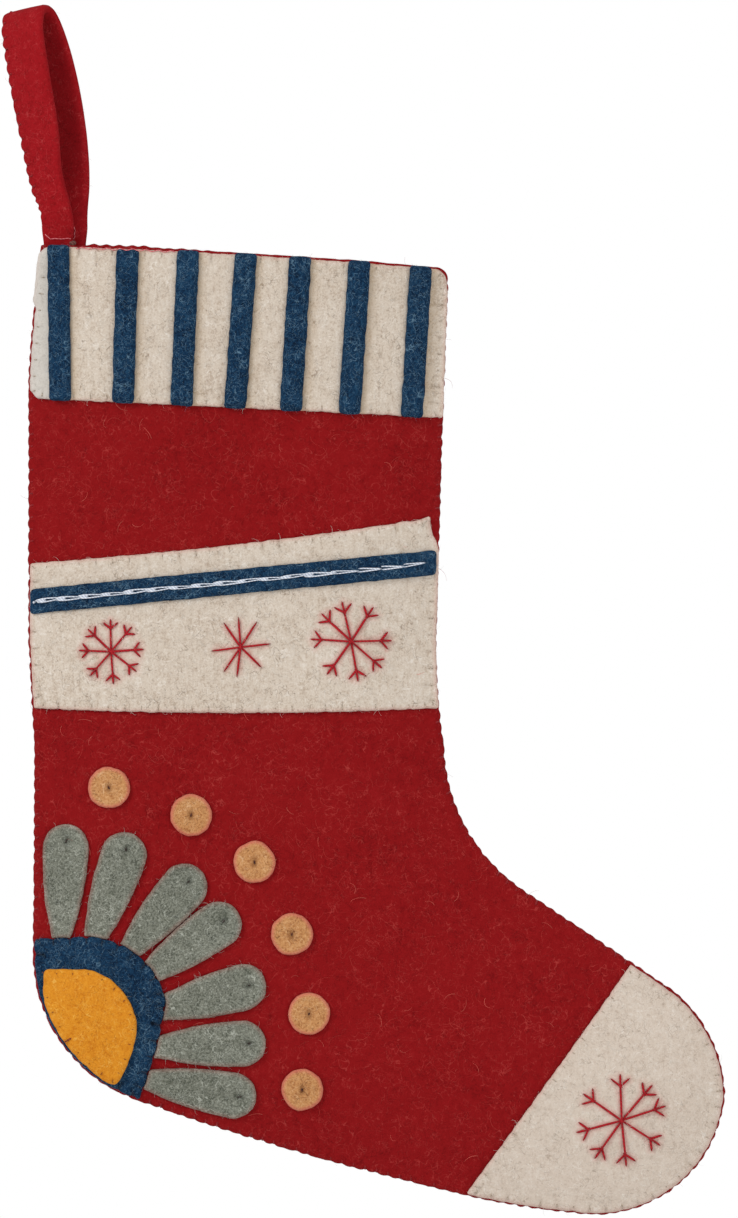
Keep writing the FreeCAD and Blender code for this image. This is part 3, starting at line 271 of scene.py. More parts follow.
# ---- what the frame gives ----

def welded(node):
    """A CAD node's mesh with its doubled corners joined."""
    shape = bmesh.new()
    shape.from_mesh(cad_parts[node].data)
    bmesh.ops.remove_doubles(shape, verts=shape.verts, dist=2e-6)
    shape.normal_update()
    return shape


def islands(node):
    """The corners of each separate solid of a node, as arrays in millimetres."""
    shape = welded(node)
    seen, found = set(), []
    for first in shape.verts:
        if first in seen:
            continue
        seen.add(first)
        stack, group = [first], []
        while stack:
            corner = stack.pop()
            group.append(corner.co[:])
            for edge in corner.link_edges:
                other = edge.other_vert(corner)
                if other not in seen:
                    seen.add(other)
                    stack.append(other)
        found.append(np.array(group) / MM)
    shape.free()
    return found


def ends_of(points):
    """The two ends of a long thin solid's axis."""
    middle = points.mean(axis=0)
    _, _, axes = np.linalg.svd(points - middle)
    reach = (points - middle) @ axes[0]
    return middle + axes[0] * reach.min(), middle + axes[0] * reach.max()


def ring_of(shape, side):
    """A felt piece's outline in the front view, anticlockwise: (across, up) in millimetres."""
    facing = {face for face in shape.faces if face.normal.y * side > 0.5}
    links = {}
    for edge in shape.edges:
        if sum(face in facing for face in edge.link_faces) == 1:
            a, b = edge.verts
            links.setdefault(a, []).append(b)
            links.setdefault(b, []).append(a)
    rings = []
    while links:
        start = next(iter(links))
        ring, here = [start], start
        while True:
            ahead = [corner for corner in links.pop(here, []) if corner in links]
            if not ahead:
                break
            here = ahead[0]
            ring.append(here)
        rings.append(np.array([(corner.co.x, corner.co.z) for corner in ring]) / MM)
    ring = max(rings, key=lambda points: np.ptp(points[:, 0]) + np.ptp(points[:, 1]))
    following = np.roll(ring, -1, axis=0)
    turning = (ring[:, 0] * following[:, 1] - following[:, 0] * ring[:, 1]).sum()
    return ring if turning > 0 else ring[::-1]


def spaced(ring, step):
    """A closed ring's points set evenly."""
    closed = np.vstack([ring, ring[:1]])
    along = np.concatenate([[0], np.cumsum(np.linalg.norm(np.diff(closed, axis=0), axis=1))])
    count = max(12, int(round(along[-1] / step)))
    marks = np.linspace(0, along[-1], count, endpoint=False)
    return np.column_stack([np.interp(marks, along, closed[:, axis]) for axis in (0, 1)])


def inwards(ring):
    """Unit directions into an anticlockwise ring, one for each point."""
    travel = np.roll(ring, -1, axis=0) - np.roll(ring, 1, axis=0)
    travel /= np.maximum(np.linalg.norm(travel, axis=1, keepdims=True), 1e-9)
    return np.column_stack([-travel[:, 1], travel[:, 0]])


def inside(ring, points):
    """Which points lie inside a ring."""
    a, b = ring, np.roll(ring, -1, axis=0)
    result = np.zeros(len(points), bool)
    for (ax, az), (bx, bz) in zip(a, b):
        if az == bz:
            continue
        crosses = (az > points[:, 1]) != (bz > points[:, 1])
        result ^= crosses & (points[:, 0] < (bx - ax) * (points[:, 1] - az) / (bz - az) + ax)
    return result


def search_tree(ring):
    """A ring's points, ready to be searched for the nearest one."""
    tree = kdtree.KDTree(len(ring))
    for index, (x, z) in enumerate(ring):
        tree.insert((x, z, 0), index)
    tree.balance()
    return tree


def away_from(ring, points):
    """Distance of each point from a ring."""
    tree = search_tree(ring)
    return np.array([tree.find((x, z, 0))[2] for x, z in points])


def nearness(points, segments, spread):
    """How near each point is to any of the segments: 1 on one, falling off over the spread."""
    result = np.zeros(len(points))
    for start, end in segments:
        run = end - start
        share = np.clip(((points - start) @ run) / max(run @ run, 1e-9), 0, 1)
        gap = np.linalg.norm(points - (start + share[:, None] * run), axis=1)
        result = np.maximum(result, np.exp(-(gap / spread) ** 2))
    return result


# ---- the lie of the felt ----

PANEL_RING = spaced(ring_of(welded("front_panel"), FRONT), 0.5)
PANEL_TREE = search_tree(PANEL_RING)


def lumps(x, z, seed, size):
    """Unevenness of one face of a piece of felt, in lumps of a size."""
    return noise.noise(Vector((x / size, seed, z / size)))


def lie(x, z, side):
    """Slow unevenness of a panel and all that lies on it, dying out at the seam."""
    depth = PANEL_TREE.find((x, z, 0))[2]
    wave = lumps(x, z, side * 5.0, 62.0) * 0.9 + lumps(x, z, side * 9.0 + 3.0, 27.0) * 0.35
    return wave * min(1.0, depth / LIE_EDGE)


FAR_OFF, JUST_OFF = 200.0, 14.0   # where a look at a face starts, and where the nearest face is looked for


class Faces:
    """Near and far faces of a CAD felt piece, in millimetres, at a point of the front view."""

    def __init__(self, node, side):
        shape = welded(node)
        corners = [corner.co / MM for corner in shape.verts]
        self.tree = BVHTree.FromPolygons(corners, [[c.index for c in face.verts] for face in shape.faces])
        self.ring = ring_of(shape, side)
        shape.free()

    def look(self, x, z, side):
        """Depth of the face that is seen from one side."""
        hit = self.tree.ray_cast(Vector((x, side * FAR_OFF, z)), Vector((0, -side, 0)))[0]
        if hit is None:
            hit = self.tree.find_nearest(Vector((x, side * JUST_OFF, z)))[0]
        return hit.y


def in_scene(name, data):
    """An object in the scene for a mesh, a lamp or a camera."""
    made = bpy.data.objects.new(name, data)
    bpy.context.scene.collection.objects.link(made)
    return made


def mesh_piece(name, corners, faces, material, values=None):
    """A shown piece from corners in millimetres."""
    mesh = bpy.data.meshes.new(name)
    mesh.from_pydata([tuple(float(part) * MM for part in corner) for corner in corners], [], faces)
    mesh.validate()
    mesh.update()
    mesh.shade_smooth()
    for key, numbers in (values or {}).items():
        layer = mesh.attributes.new(key, "FLOAT", "POINT")
        layer.data.foreach_set("value", [float(number) for number in numbers])
    mesh.materials.append(material)
    return in_scene(name, mesh)


def smoothed(heights, faces, fixed, rounds):
    """Heights evened out over the mesh, the fixed ones kept."""
    faces = np.array(faces)
    pairs = np.vstack([faces[:, [0, 1]], faces[:, [1, 2]], faces[:, [2, 0]]])
    pairs = np.unique(np.sort(pairs, axis=1), axis=0)
    count = np.bincount(pairs.ravel(), minlength=len(heights))
    for _ in range(rounds):
        total = np.bincount(pairs[:, 0], heights[pairs[:, 1]], len(heights))
        total += np.bincount(pairs[:, 1], heights[pairs[:, 0]], len(heights))
        heights = np.where(fixed, heights, total / np.maximum(count, 1))
    return heights


def cut_line(ring, seed, wobble, dents, dent_depth):
    """A cut edge's line: a little uneven, and drawn in where a stitch crosses it."""
    shift = np.array([lumps(x, z, seed, 5.5) + 0.5 * lumps(x, z, seed + 7, 2.2) for x, z in ring]) * wobble
    if len(dents):
        pulled = nearness(ring, [(dent, dent) for dent in dents], DENT_WIDE)
        uneven = np.array([0.75 + 1.1 * lumps(x, z, seed + 3, 7.0) for x, z in ring])
        shift = shift * (1 - pulled) + pulled * dent_depth * uneven - 0.10
    return ring + inwards(ring) * shift[:, None]


def filled_in(ring, grain, seed):
    """A felt's face inside its cut line: points, triangles, and the run of the points on the rim."""
    rows = [ring]
    for reach in EDGE_ROWS:
        row = ring + inwards(ring) * reach
        keep = (away_from(ring, row) > reach * 0.86) & inside(ring, row)
        rows.append(row[keep])
    low, high = ring.min(axis=0), ring.max(axis=0)
    across = np.arange(low[0], high[0] + grain, grain)
    up = np.arange(low[1], high[1] + grain, grain * 0.866)
    grid = np.array([(x + (grain / 2 if row % 2 else 0), z) for row, z in enumerate(up) for x in across])
    stir = [(noise.noise(Vector((x, z, seed))), noise.noise(Vector((z, seed, x)))) for x, z in grid]
    grid = grid + np.array(stir) * grain * 0.35
    grid = grid[inside(ring, grid)]
    grid = grid[away_from(ring, grid) > EDGE_ROWS[-1] + grain * 0.45]
    points = [Vector(point) for point in np.vstack(rows + [grid])]
    flat, _, cells, *_ = geometry.delaunay_2d_cdt(points, [], [list(range(len(ring)))], 1, 1e-5)
    flat = np.array([tuple(point) for point in flat])
    turn = [np.cross(flat[c[1]] - flat[c[0]], flat[c[2]] - flat[c[0]]) for c in cells]
    cells = [list(cell) if turned > 0 else list(cell)[::-1] for cell, turned in zip(cells, turn)]
    used = {(a, b) for cell in cells for a, b in zip(cell, cell[1:] + cell[:1])}
    rim = {a: b for a, b in used if (b, a) not in used}
    start = next(iter(rim))
    order, here = [start], rim[start]
    while here != start:
        order.append(here)
        here = rim[here]
    return flat, cells, order


def closed_body(flat, top, under, cells, order, edge_in):
    """Corners and faces of a felt piece from its two faces, with a soft edge between them."""
    bulge = flat[order] - edge_in * CUT_SOFTNESS
    middle = (top[order] + under[order]) / 2
    corners = [(x, y, z) for points, depths in ((flat, top), (flat, under), (bulge, middle))
               for (x, z), y in zip(points, depths)]
    count = len(flat)
    faces = [cell[:] for cell in cells] + [[count + c for c in reversed(cell)] for cell in cells]
    for index, (a, b) in enumerate(zip(order, order[1:] + order[:1])):
        m, n = 2 * count + index, 2 * count + (index + 1) % len(order)
        faces += [[b, a, m, n], [n, m, count + a, count + b]]
    return corners, faces


def cut_felt(name, node, side, material, seed, grain=GRAIN, roll=0.85, dents=(), presses=(), tints=(),
             dent_depth=0.28, wobble=0.28, soft=0.16, washed=None, worn=0, reshape=None, plump=0.0,
             stains=(), rim_dust=0.0, seam=()):
    """One cut piece of felt: both faces, a rolled soft edge, dents where stitches pull at the edge.

    dents: the points where a stitch crosses the edge; presses: groups of threads that lie on the face, each
    with how wide and deep they press and how dark the painted shade in the hollow is; tints: threads whose
    colour has rubbed off; washed: how far across from the left the piece is painted in a cooler, paler light,
    in millimetres; worn: how many times its corners are rounded; reshape: what changes the outline before it
    is cut;
    plump: how much the middle stands up; stains: lines along which a warm shadow is painted; rim_dust: how
    much red wool its cut edge has picked up; seam: where stitches draw its edge on to the other panel's.
    """
    faces = Faces(node, side)
    ring = spaced(faces.ring if reshape is None else reshape(faces.ring), EDGE_STEP)
    for _ in range(worn):
        ring = (np.roll(ring, 1, axis=0) + 2 * ring + np.roll(ring, -1, axis=0)) / 4
    flat, cells, order = filled_in(cut_line(ring, seed, wobble, dents, dent_depth), grain, seed)
    rim = np.zeros(len(flat), bool)
    rim[order] = True
    depth = away_from(spaced(flat[order], 0.3), flat)
    probe = flat.copy()
    edge_in = inwards(flat[order])
    probe[order] = flat[order] + edge_in * (0.45 + max(0.0, wobble))
    near, far = (smoothed(np.array([faces.look(x, z, way) for x, z in probe]), cells, rim, 4)
                 for way in (side, -side))
    base = np.array([lie(x, z, side) for x, z in flat])
    small = np.array([lumps(x, z, seed + 20, 9.0) + 0.7 * lumps(x, z, seed + 31, 3.6) for x, z in flat])
    rounding = np.clip(1 - depth / (roll * ROLL_REACH), 0, 1)
    drop = roll * (1 - np.sqrt(np.clip(1 - rounding ** 2, 0, 1)))
    drop = np.minimum(drop, np.abs(near - far) * ROLL_LIMIT)
    pressed, shaded_hollow, tinted, aged, cool_light_share = (np.zeros(len(flat)) for _ in range(5))
    # each press sinks the face under its threads and paints shade into that hollow
    for segments, spread, press_depth, darkness in presses:
        under_thread = nearness(flat, segments, spread)
        pressed = np.maximum(pressed, under_thread * press_depth)
        shaded_hollow = np.maximum(shaded_hollow, under_thread * darkness)
    if len(tints):
        tinted = nearness(flat, tints, DUST_WIDE)
    # painted shadow: warm shade along the given lines, where the stripes would cast it
    if len(stains):
        aged = nearness(flat, stains, SHADOW_WIDE)
    # painted light: left of the given distance across, the felt is painted in a cooler, paler light
    if washed is not None:
        cool_light_share = np.clip((washed + 0.6 - flat[:, 0]) / 1.2, 0, 1)
    tinted = np.maximum(tinted, rim_dust * np.exp(-depth ** 2))
    fade = np.clip(depth / 2.0, 0.25, 1)
    top = near + base + side * (small * soft * fade + plump * (1 - rounding) ** 0.5 - drop - pressed)
    under = far + base + side * np.minimum(drop * 0.6, 0.4)
    if len(seam):
        held = np.clip(2.2 * nearness(flat, [(foot, foot) for foot in seam], STITCH_REACH), 0, 1)
        held *= np.clip(1 - depth / SEAM_CLOSED, 0, 1)
        under = under * (1 - held) - side * SEAM_OVERLAP * held
    corners, shown = closed_body(flat, top, under, cells, order, edge_in)
    if side == BACK:
        shown = [face[::-1] for face in shown]
    marks = (("pressed", shaded_hollow, 0.5), ("tinted", tinted, 1.0), ("washed", cool_light_share, 1.0), ("aged", aged, 1.0))
    values = {key: np.concatenate([mark, mark * 0, mark[order] * share]) for key, mark, share in marks}
    return mesh_piece(name, corners, shown, material, values)


# ---- stitches ----

def tube(path, radii, sides=5, caps=True):
    """Corners and faces of a tube along points, one radius for each."""
    path = [Vector(point) for point in path]
    corners, faces = [], []
    side_way = None
    for index, point in enumerate(path):
        ahead = path[min(index + 1, len(path) - 1)] - path[max(index - 1, 0)]
        ahead.normalize()
        if side_way is None:
            side_way = ahead.orthogonal().normalized()
        side_way = (side_way - ahead * side_way.dot(ahead)).normalized()
        other = ahead.cross(side_way)
        for step in range(sides):
            angle = 2 * math.pi * step / sides
            corners.append(point + (side_way * math.cos(angle) + other * math.sin(angle)) * radii[index])
    for ring in range(len(path) - 1):
        for step in range(sides):
            a, b = ring * sides + step, ring * sides + (step + 1) % sides
            faces.append([a, b, b + sides, a + sides])
    if caps:
        faces.append(list(reversed(range(sides))))
        faces.append(list(range((len(path) - 1) * sides, len(path) * sides)))
    return corners, faces


def template(name, shapes):
    """A hidden object whose mesh Geometry Nodes sets at each place; its sizes are in millimetres."""
    corners, faces = [], []
    for more_corners, more_faces in shapes:
        faces += [[len(corners) + index for index in face] for face in more_faces]
        corners += more_corners
    mesh = bpy.data.meshes.new(name)
    mesh.from_pydata([tuple(corner * MM) for corner in corners], [], faces)
    mesh.update()
    mesh.shade_smooth()
    return bpy.data.objects.new(name, mesh)


def thread_template(name, radius, sections=7, sides=6):
    """A stitch 1 mm long along X that rises out of the felt and goes back in, stretched where it lies."""
    path, radii, ends = [], [], []
    for index in range(sections):
        share = index / (sections - 1)
        path.append(Vector((share - 0.5, 0, (math.sin(math.pi * share) ** 0.6 * 0.62 - 0.30) * radius)))
        radii.append(radius * (TUCKED if index in (0, sections - 1) else 1.0))
        # how near each ring is to the thread's end, for the shade painted there
        ends += [{0: 0.25, sections - 2: 0.5, sections - 1: 1.0}.get(index, 0.0)] * sides
    made = template(name, [tube(path, radii, sides)])
    made.data.attributes.new("end", "FLOAT", "POINT").data.foreach_set("value", ends)
    return made


def whip_template(name, reach, half, radius, slant):
    """A stitch that comes out of the near face, goes over the edge (towards +Y) and into the far face."""
    over = [(-reach, half - 0.35), (-reach * 0.72, half + 0.22), (-reach * 0.3, half + 0.42),
            (0.15, half * 0.82), (0.55, half * 0.36)]
    profile = over + [(0.62, 0.0)] + [(out, -across) for out, across in reversed(over)]
    count = len(profile)
    path = [Vector((slant * (0.5 - index / (count - 1)), out, across))
            for index, (out, across) in enumerate(profile)]
    radii = [radius * (TUCKED if index in (0, count - 1) else 1.0) for index in range(count)]
    return template(name, [tube(path, radii)])


def link_template(name, width, radius):
    """A chain-stitch link 1 mm long along X: round at its start, drawn together at the next one's start."""
    shapes = []
    for hand in (-1, 1):
        path, radii = [], []
        for index in range(9):
            share = (index / 8) ** 1.4
            spread = min(1.0, share / 0.10) ** 0.5 * (1 - 0.85 * share ** 1.1)
            lift = -0.15 + 0.45 * math.sin(math.pi * (0.12 + 0.74 * share)) ** 0.6
            path.append(Vector((share - 0.5, hand * spread * width / 2, lift)))
            radii.append(radius * (0.85 if index in (0, 8) else 1.0))
        shapes.append(tube(path, radii))
    return template(name, shapes)


PLACE_SAYS = ("run", "rise", "size")   # what a stitch's place says: the ways along and up, and its size


def node_group(name, taken, given, inputs):
    """A Geometry Nodes tree with named inputs and an output, and the sockets that give its inputs."""
    tree = bpy.data.node_groups.new(name, "GeometryNodeTree")
    common = (("Seed", "Int", 1), ("Material", "Material", None))
    for label, kind, start in ((taken, "Geometry", None),) + inputs + common:
        socket = tree.interface.new_socket(label, in_out="INPUT", socket_type="NodeSocket" + kind)
        if start is not None:
            socket.default_value = start
    tree.interface.new_socket(given, in_out="OUTPUT", socket_type="NodeSocketGeometry")
    make = Nodes(tree)
    return make, make.add("NodeGroupInput").outputs


def turned_by(make, first, second):
    """A turn, and then another within it."""
    return make.add("FunctionNodeRotateRotation", "", {"rotation_space": "LOCAL"}, Rotation=first,
                    Rotate_By=second).outputs["Rotation"]


def chance(make, taken, low, high):
    """A number between two for each place."""
    return make.add("FunctionNodeRandomValue", "", {"data_type": "FLOAT"}, i2=low, i3=high,
                    Seed=taken["Seed"]).outputs[1]


def set_down(make, taken, given, **values):
    """Sets a shape at every point and gives it out as real mesh in its material."""
    laid = make.add("GeometryNodeInstanceOnPoints", **values).outputs["Instances"]
    real = make.add("GeometryNodeRealizeInstances", Geometry=laid).outputs["Geometry"]
    painted = make.add("GeometryNodeSetMaterial", Geometry=real, Material=taken["Material"])
    make.add("NodeGroupOutput", **{given: painted.outputs["Geometry"]})
    return make.tree


def sewing_tree():
    """Sets a template at every place, turned and sized as the place says, with a little unevenness."""
    make, taken = node_group("sewing", "Places", "Stitches", (
        ("Stitch", "Object", None), ("Turn", "Float", 0.06), ("Size Spread", "Float", 0.08)))
    run, rise, size = (make.add("GeometryNodeInputNamedAttribute", key, {"data_type": "FLOAT_VECTOR"},
                                Name=key).outputs["Attribute"] for key in PLACE_SAYS)
    stitch = make.add("GeometryNodeObjectInfo", Object=taken["Stitch"]).outputs["Geometry"]
    axes = make.add("FunctionNodeAxesToRotation", "", {"primary_axis": "Z", "secondary_axis": "X"},
                    Primary_Axis=rise, Secondary_Axis=run).outputs["Rotation"]
    angle = chance(make, taken, make.math("MULTIPLY", taken["Turn"], -1.0), taken["Turn"])
    spin = make.add("FunctionNodeAxisAngleToRotation", Axis=(0, 0, 1), Angle=angle).outputs["Rotation"]
    spread = taken["Size Spread"]
    growth = chance(make, taken, make.math("SUBTRACT", 1.0, spread), make.math("ADD", 1.0, spread))
    grown = make.add("ShaderNodeVectorMath", "", {"operation": "SCALE"}, i0=size, Scale=growth)
    points = make.add("GeometryNodeMeshToPoints", Mesh=taken["Places"]).outputs["Points"]
    return set_down(make, taken, "Stitches", Points=points, Instance=stitch,
                    Rotation=turned_by(make, axes, spin), Scale=grown.outputs["Vector"])


SEWING = sewing_tree()


def made_plain(piece, name, material, tree, values):
    """What a Geometry Nodes tree makes on a piece, as a plain mesh; the piece itself goes."""
    modifier = piece.modifiers.new("made", "NODES")
    modifier.node_group = tree
    values["Material"] = material
    for socket in tree.interface.items_tree:
        if socket.in_out == "INPUT" and socket.name in values:
            modifier[socket.identifier] = values[socket.name]
    bpy.context.view_layer.update()
    graph = bpy.context.evaluated_depsgraph_get()
    mesh = bpy.data.meshes.new_from_object(piece.evaluated_get(graph))
    mesh.name = name
    mesh.materials.clear()
    mesh.materials.append(material)
    plain = in_scene(name, mesh)
    old = piece.data
    bpy.data.objects.remove(piece)
    bpy.data.meshes.remove(old)
    return plain


def sew(name, stitch, places, material, seed, turn, spread):
    """A set of stitches: places are (middle, run, rise, size), millimetres and directions."""
    mesh = bpy.data.meshes.new(name + "_places")
    mesh.from_pydata([tuple(Vector(place[0]) * MM) for place in places], [], [])
    for column, key in enumerate(PLACE_SAYS, 1):
        layer = mesh.attributes.new(key, "FLOAT_VECTOR", "POINT")
        layer.data.foreach_set("vector", [float(part) for place in places for part in place[column]])
    return made_plain(in_scene(name + "_places", mesh), name, material, SEWING,
                      {"Stitch": stitch, "Turn": turn, "Size Spread": spread, "Seed": seed})


# ---- stray fibres ----

def fibre_templates(name, material, thickness):
    """Curled single fibres, thin three-sided tubes about 1 mm long before they are sized."""
    group = bpy.data.collections.new(name)
    dice = random.Random(11)
    steps = 7
    for number in range(6):
        bend, rise, hook = dice.uniform(0.6, 2.6), dice.uniform(0.04, 0.30), dice.uniform(-1.2, 1.2)
        point, heading, path = Vector((0, 0, -0.02)), dice.uniform(-0.3, 0.3), []
        for step in range(steps):
            path.append(point.copy())
            heading += (bend + hook * step / steps) / steps
            point = point + Vector((math.cos(heading), math.sin(heading), 0)) / (steps - 1)
            point.z = rise * math.sin(math.pi * (step + 1) / steps * 0.75)
        radii = [thickness * (1 - 0.6 * index / (steps - 1)) for index in range(steps)]
        made = template(f"{name}_{number}", [tube(path, radii, 3, False)])
        made.data.materials.append(material)
        group.objects.link(made)
    return group


def fibre_tree():
    """Scatters curled fibres over the faces that look outwards, lying mostly flat."""
    make, taken = node_group("stray_fibres", "Felt", "Strays", (
        ("Fibres", "Collection", None), ("Density", "Float", 8000.0), ("Shortest", "Float", 2.0),
        ("Longest", "Float", 8.0), ("Stand", "Float", 0.25)))
    scatter = make.add("GeometryNodeDistributePointsOnFaces", Mesh=taken["Felt"], Density=taken["Density"],
                       Seed=taken["Seed"]).outputs
    fibres = make.add("GeometryNodeCollectionInfo", Separate_Children=True, Reset_Children=True,
                      Collection=taken["Fibres"]).outputs[0]
    turn = make.add("FunctionNodeRandomValue", "", {"data_type": "FLOAT_VECTOR"}, i0=(-1.0, -1.0, -math.pi),
                    i1=(1.0, 1.0, math.pi), Seed=taken["Seed"]).outputs[0]
    lean = make.add("ShaderNodeCombineXYZ", i0=taken["Stand"], i1=taken["Stand"], i2=1.0).outputs[0]
    tilt = make.add("ShaderNodeVectorMath", "", {"operation": "MULTIPLY"}, i0=turn, i1=lean).outputs[0]
    spin = make.add("FunctionNodeEulerToRotation", i0=tilt).outputs["Rotation"]
    length = chance(make, taken, taken["Shortest"], taken["Longest"])
    return set_down(make, taken, "Strays", Points=scatter["Points"], Instance=fibres, Pick_Instance=True,
                    Rotation=turned_by(make, scatter["Rotation"], spin), Scale=length)


FIBRES = fibre_tree()


def outer_skin(pieces, name, keep):
    """The outward faces of some pieces, as one throwaway mesh for fibres to grow on."""
    shape = bmesh.new()
    for piece in pieces:
        shape.from_mesh(piece.data)
    shape.normal_update()
    bmesh.ops.delete(shape, geom=[face for face in shape.faces if not keep(face)], context="FACES")
    mesh = bpy.data.meshes.new(name)
    shape.to_mesh(mesh)
    shape.free()
    return in_scene(name, mesh)


def grow_fibres(name, pieces, keep, colour, density, shortest, longest, stand, thickness, seed):
    """Stray fibres over some pieces, as one plain mesh."""
    material = fibre_material(name + "_wool", colour)
    return made_plain(outer_skin(pieces, name + "_skin", keep), name, material, FIBRES, {
        "Fibres": fibre_templates(name + "_shapes", material, thickness),
        "Density": density * 1.0, "Shortest": shortest, "Longest": longest,
        "Stand": stand, "Seed": seed})


# ---- where the stitches are ----

def flat_segments(node):
    """A node's straight stitches in the front view."""
    return [(np.array((a[0], a[2])), np.array((b[0], b[2]))) for a, b in map(ends_of, islands(node))]


def foot_points(node):
    """Where a node's whip stitches cross the sewn edge, in the front view."""
    feet = []
    for corners in islands(node):
        x, _, z = corners.mean(axis=0)
        feet.append(PANEL_RING[PANEL_TREE.find((x, z, 0))[1]])
    return np.array(feet)


SEAM_FEET = foot_points("seam_stitches")
CUFF_TICKS, BAND_TICKS, TOE_TICKS = map(flat_segments, (
    "cuff_stitches", "ankle_band_stitches", "toe_patch_stitches"))
DISC_TICKS, SUN_TICKS = flat_segments("heel_disc_stitches"), flat_segments("heel_sun_stitches")
PETAL_TACKS, DOT_TACKS = flat_segments("petal_tacks"), flat_segments("dot_tacks")
CHAIN = flat_segments("ribbon_chain_stitch")
FLAKE_NODES = ("snowflake_left", "star_middle", "snowflake_right", "toe_snowflake")
FLAKE_HEART = 2.6   # how far from a flake's middle its long arms may start


def nearest_on(segment, point):
    """The point of a stitch nearest to another point."""
    start, end = segment
    run = end - start
    return start + run * float(np.clip((point - start) @ run / (run @ run), 0, 1))


def drawn_together(arms):
    """A flake's stitches with its long arms carried on to the middle and its barbs on to the arms."""
    lengths = [np.linalg.norm(end - start) for start, end in arms]
    middle = sum(arms[int(np.argmin(lengths))]) / 2

    def away(point):
        return np.linalg.norm(point - middle)

    drawn, long_arms = [], []
    for ends, length in zip(arms, lengths):
        inner, outer = sorted(reversed(ends), key=away)
        if away(inner) < FLAKE_HEART and length > 2:
            inner = middle + (outer - middle) / away(outer) * 0.25
            long_arms.append((inner, outer))
        drawn.append([inner, outer])
    for stitch, length in zip(drawn, lengths):
        if length > 0.8 and away(stitch[0]) > FLAKE_HEART:
            stitch[0] = min((nearest_on(arm, stitch[0]) for arm in long_arms),
                            key=lambda spot: np.linalg.norm(spot - stitch[0]))
    return [tuple(stitch) for stitch in drawn]


FLAKES = {node: drawn_together(flat_segments(node)) for node in FLAKE_NODES}
BAND_FLAKES = [arm for node in FLAKE_NODES[:3] for arm in FLAKES[node]]


def outer_ends(ticks, ring):
    """The end of each tick that is nearer an outline."""
    ring = spaced(ring, 0.5)
    ends = []
    for start, end in ticks:
        near = away_from(ring, [start, end])
        ends.append(start if near[0] < near[1] else end)
    return ends


def drawn_in(ticks, ring, stretch):
    """Each tick's hollow in the felt, from the edge inwards, longer than the tick by the stretch."""
    hollows = []
    for (start, end), out in zip(ticks, outer_ends(ticks, ring)):
        inner = end if out is start else start
        hollows.append((out, out + (inner - out) * stretch))
    return hollows


# ---- felt pieces ----

PIECES = {}


def rides(piece, body, slot, *nodes):
    """A piece that moves with a body, in place of its CAD nodes."""
    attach(piece, body)
    if nodes:
        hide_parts(*nodes)
    return piece


def felt(name, node, side, slot, seed, wool=None, **more):
    """A cut piece of felt in place of its CAD node."""
    piece = cut_felt(name, node, side, FELTS[wool or slot], seed, **more)
    PIECES[name] = rides(piece, "stocking", slot, node)


def ticks_of(node, ticks, spread=0.5, depth=0.42, darkness=0.5, stretch=1.25):
    """Edge dents and pressed threads with painted shade, some faint and some plain, for a piece sewn down all
    round.
    """
    ring = Faces(node, FRONT).ring
    dice = random.Random(len(ticks))
    presses = []
    for shaded_hollow in drawn_in(ticks, ring, stretch):
        plain = dice.choice((0.2, 0.35, 0.6, 1.0))
        inner = (shaded_hollow[1] + (shaded_hollow[1] - shaded_hollow[0]) * 0.05, shaded_hollow[1])
        presses.append(([shaded_hollow], spread, depth * (0.5 + plain / 2), darkness * plain))
        # the small hole at the thread's inner end gets twice the painted shade
        presses.append(([inner], HOLE_WIDE, HOLE_DEEP, darkness * 2.0 * plain))
    return {"dents": outer_ends(ticks, ring), "presses": presses}


HOLE_WIDE, HOLE_DEEP = 0.45, 0.2    # the small hole at the inner end of a stitch
# The front panel's lip: where its bumps stand along the mouth, and how high.
MOUTH_BUMPS = [(x, 0.85 if x < 50 else 0.45) for x in np.arange(27.5, 76.0, 5.3)]
BUMP_WIDTH = 1.9
STRIPE_UP, STRIPE_DOWN = 0.9, 1.1   # how far a stripe's ends are carried past the solid's
SEAM_LAP, MOUTH_LAP = 0.8, 1.3      # how far a band laps over the seam at its right end and by the mouth
CORNER_CUTS = ((1, 2.2), (-1, 3.4))  # the cuff's left corners, upper and lower: how much is cut off
BAND_POINT = (0.9, 1.1)             # how far the ankle band's upper right corner is drawn across and up
SUN_SHORT = 2.6                     # how much of the sun's upper corner is cut back


def mouth_lip(ring):
    """The front panel's outline with its lip, which stands a little above the cuff in bumps."""
    ring = spaced(ring, 0.5)
    top = ring[:, 1].max()
    for x, height in MOUTH_BUMPS:
        near_top = (ring[:, 1] > top - 25) & (np.abs(ring[:, 0] - x) < 6)
        ring[:, 1] += np.where(near_top, height * np.exp(-((ring[:, 0] - x) / BUMP_WIDTH) ** 2), 0)
    return ring


def stripe_ends(ring, rise=STRIPE_UP):
    """A stripe's outline carried up to the mouth's edge and down to the cuff's lower edge."""
    ring = spaced(ring, 0.5)
    low, top = ring[:, 1].min(), ring[:, 1].max()
    head, foot = (np.clip((4 - gap) / 3, 0, 1) for gap in (top - ring[:, 1], ring[:, 1] - low))
    ring[:, 1] += rise * head - STRIPE_DOWN * foot
    return ring


def lapped_end(ring):
    """A band's outline whose right-hand end, from below its upper corner down, laps over the seam."""
    ring = spaced(ring, 0.5)
    corner = ring[ring[:, 0] > ring[:, 0].max() - 12][:, 1].max()
    facing = (inwards(ring)[:, 0] < -0.85) & (ring[:, 1] < corner - 7)
    lap = np.convolve(np.tile(facing.astype(float), 3), np.ones(9) / 9, "same")[len(ring):2 * len(ring)]
    return ring + lap[:, None] * (SEAM_LAP, 0.0)


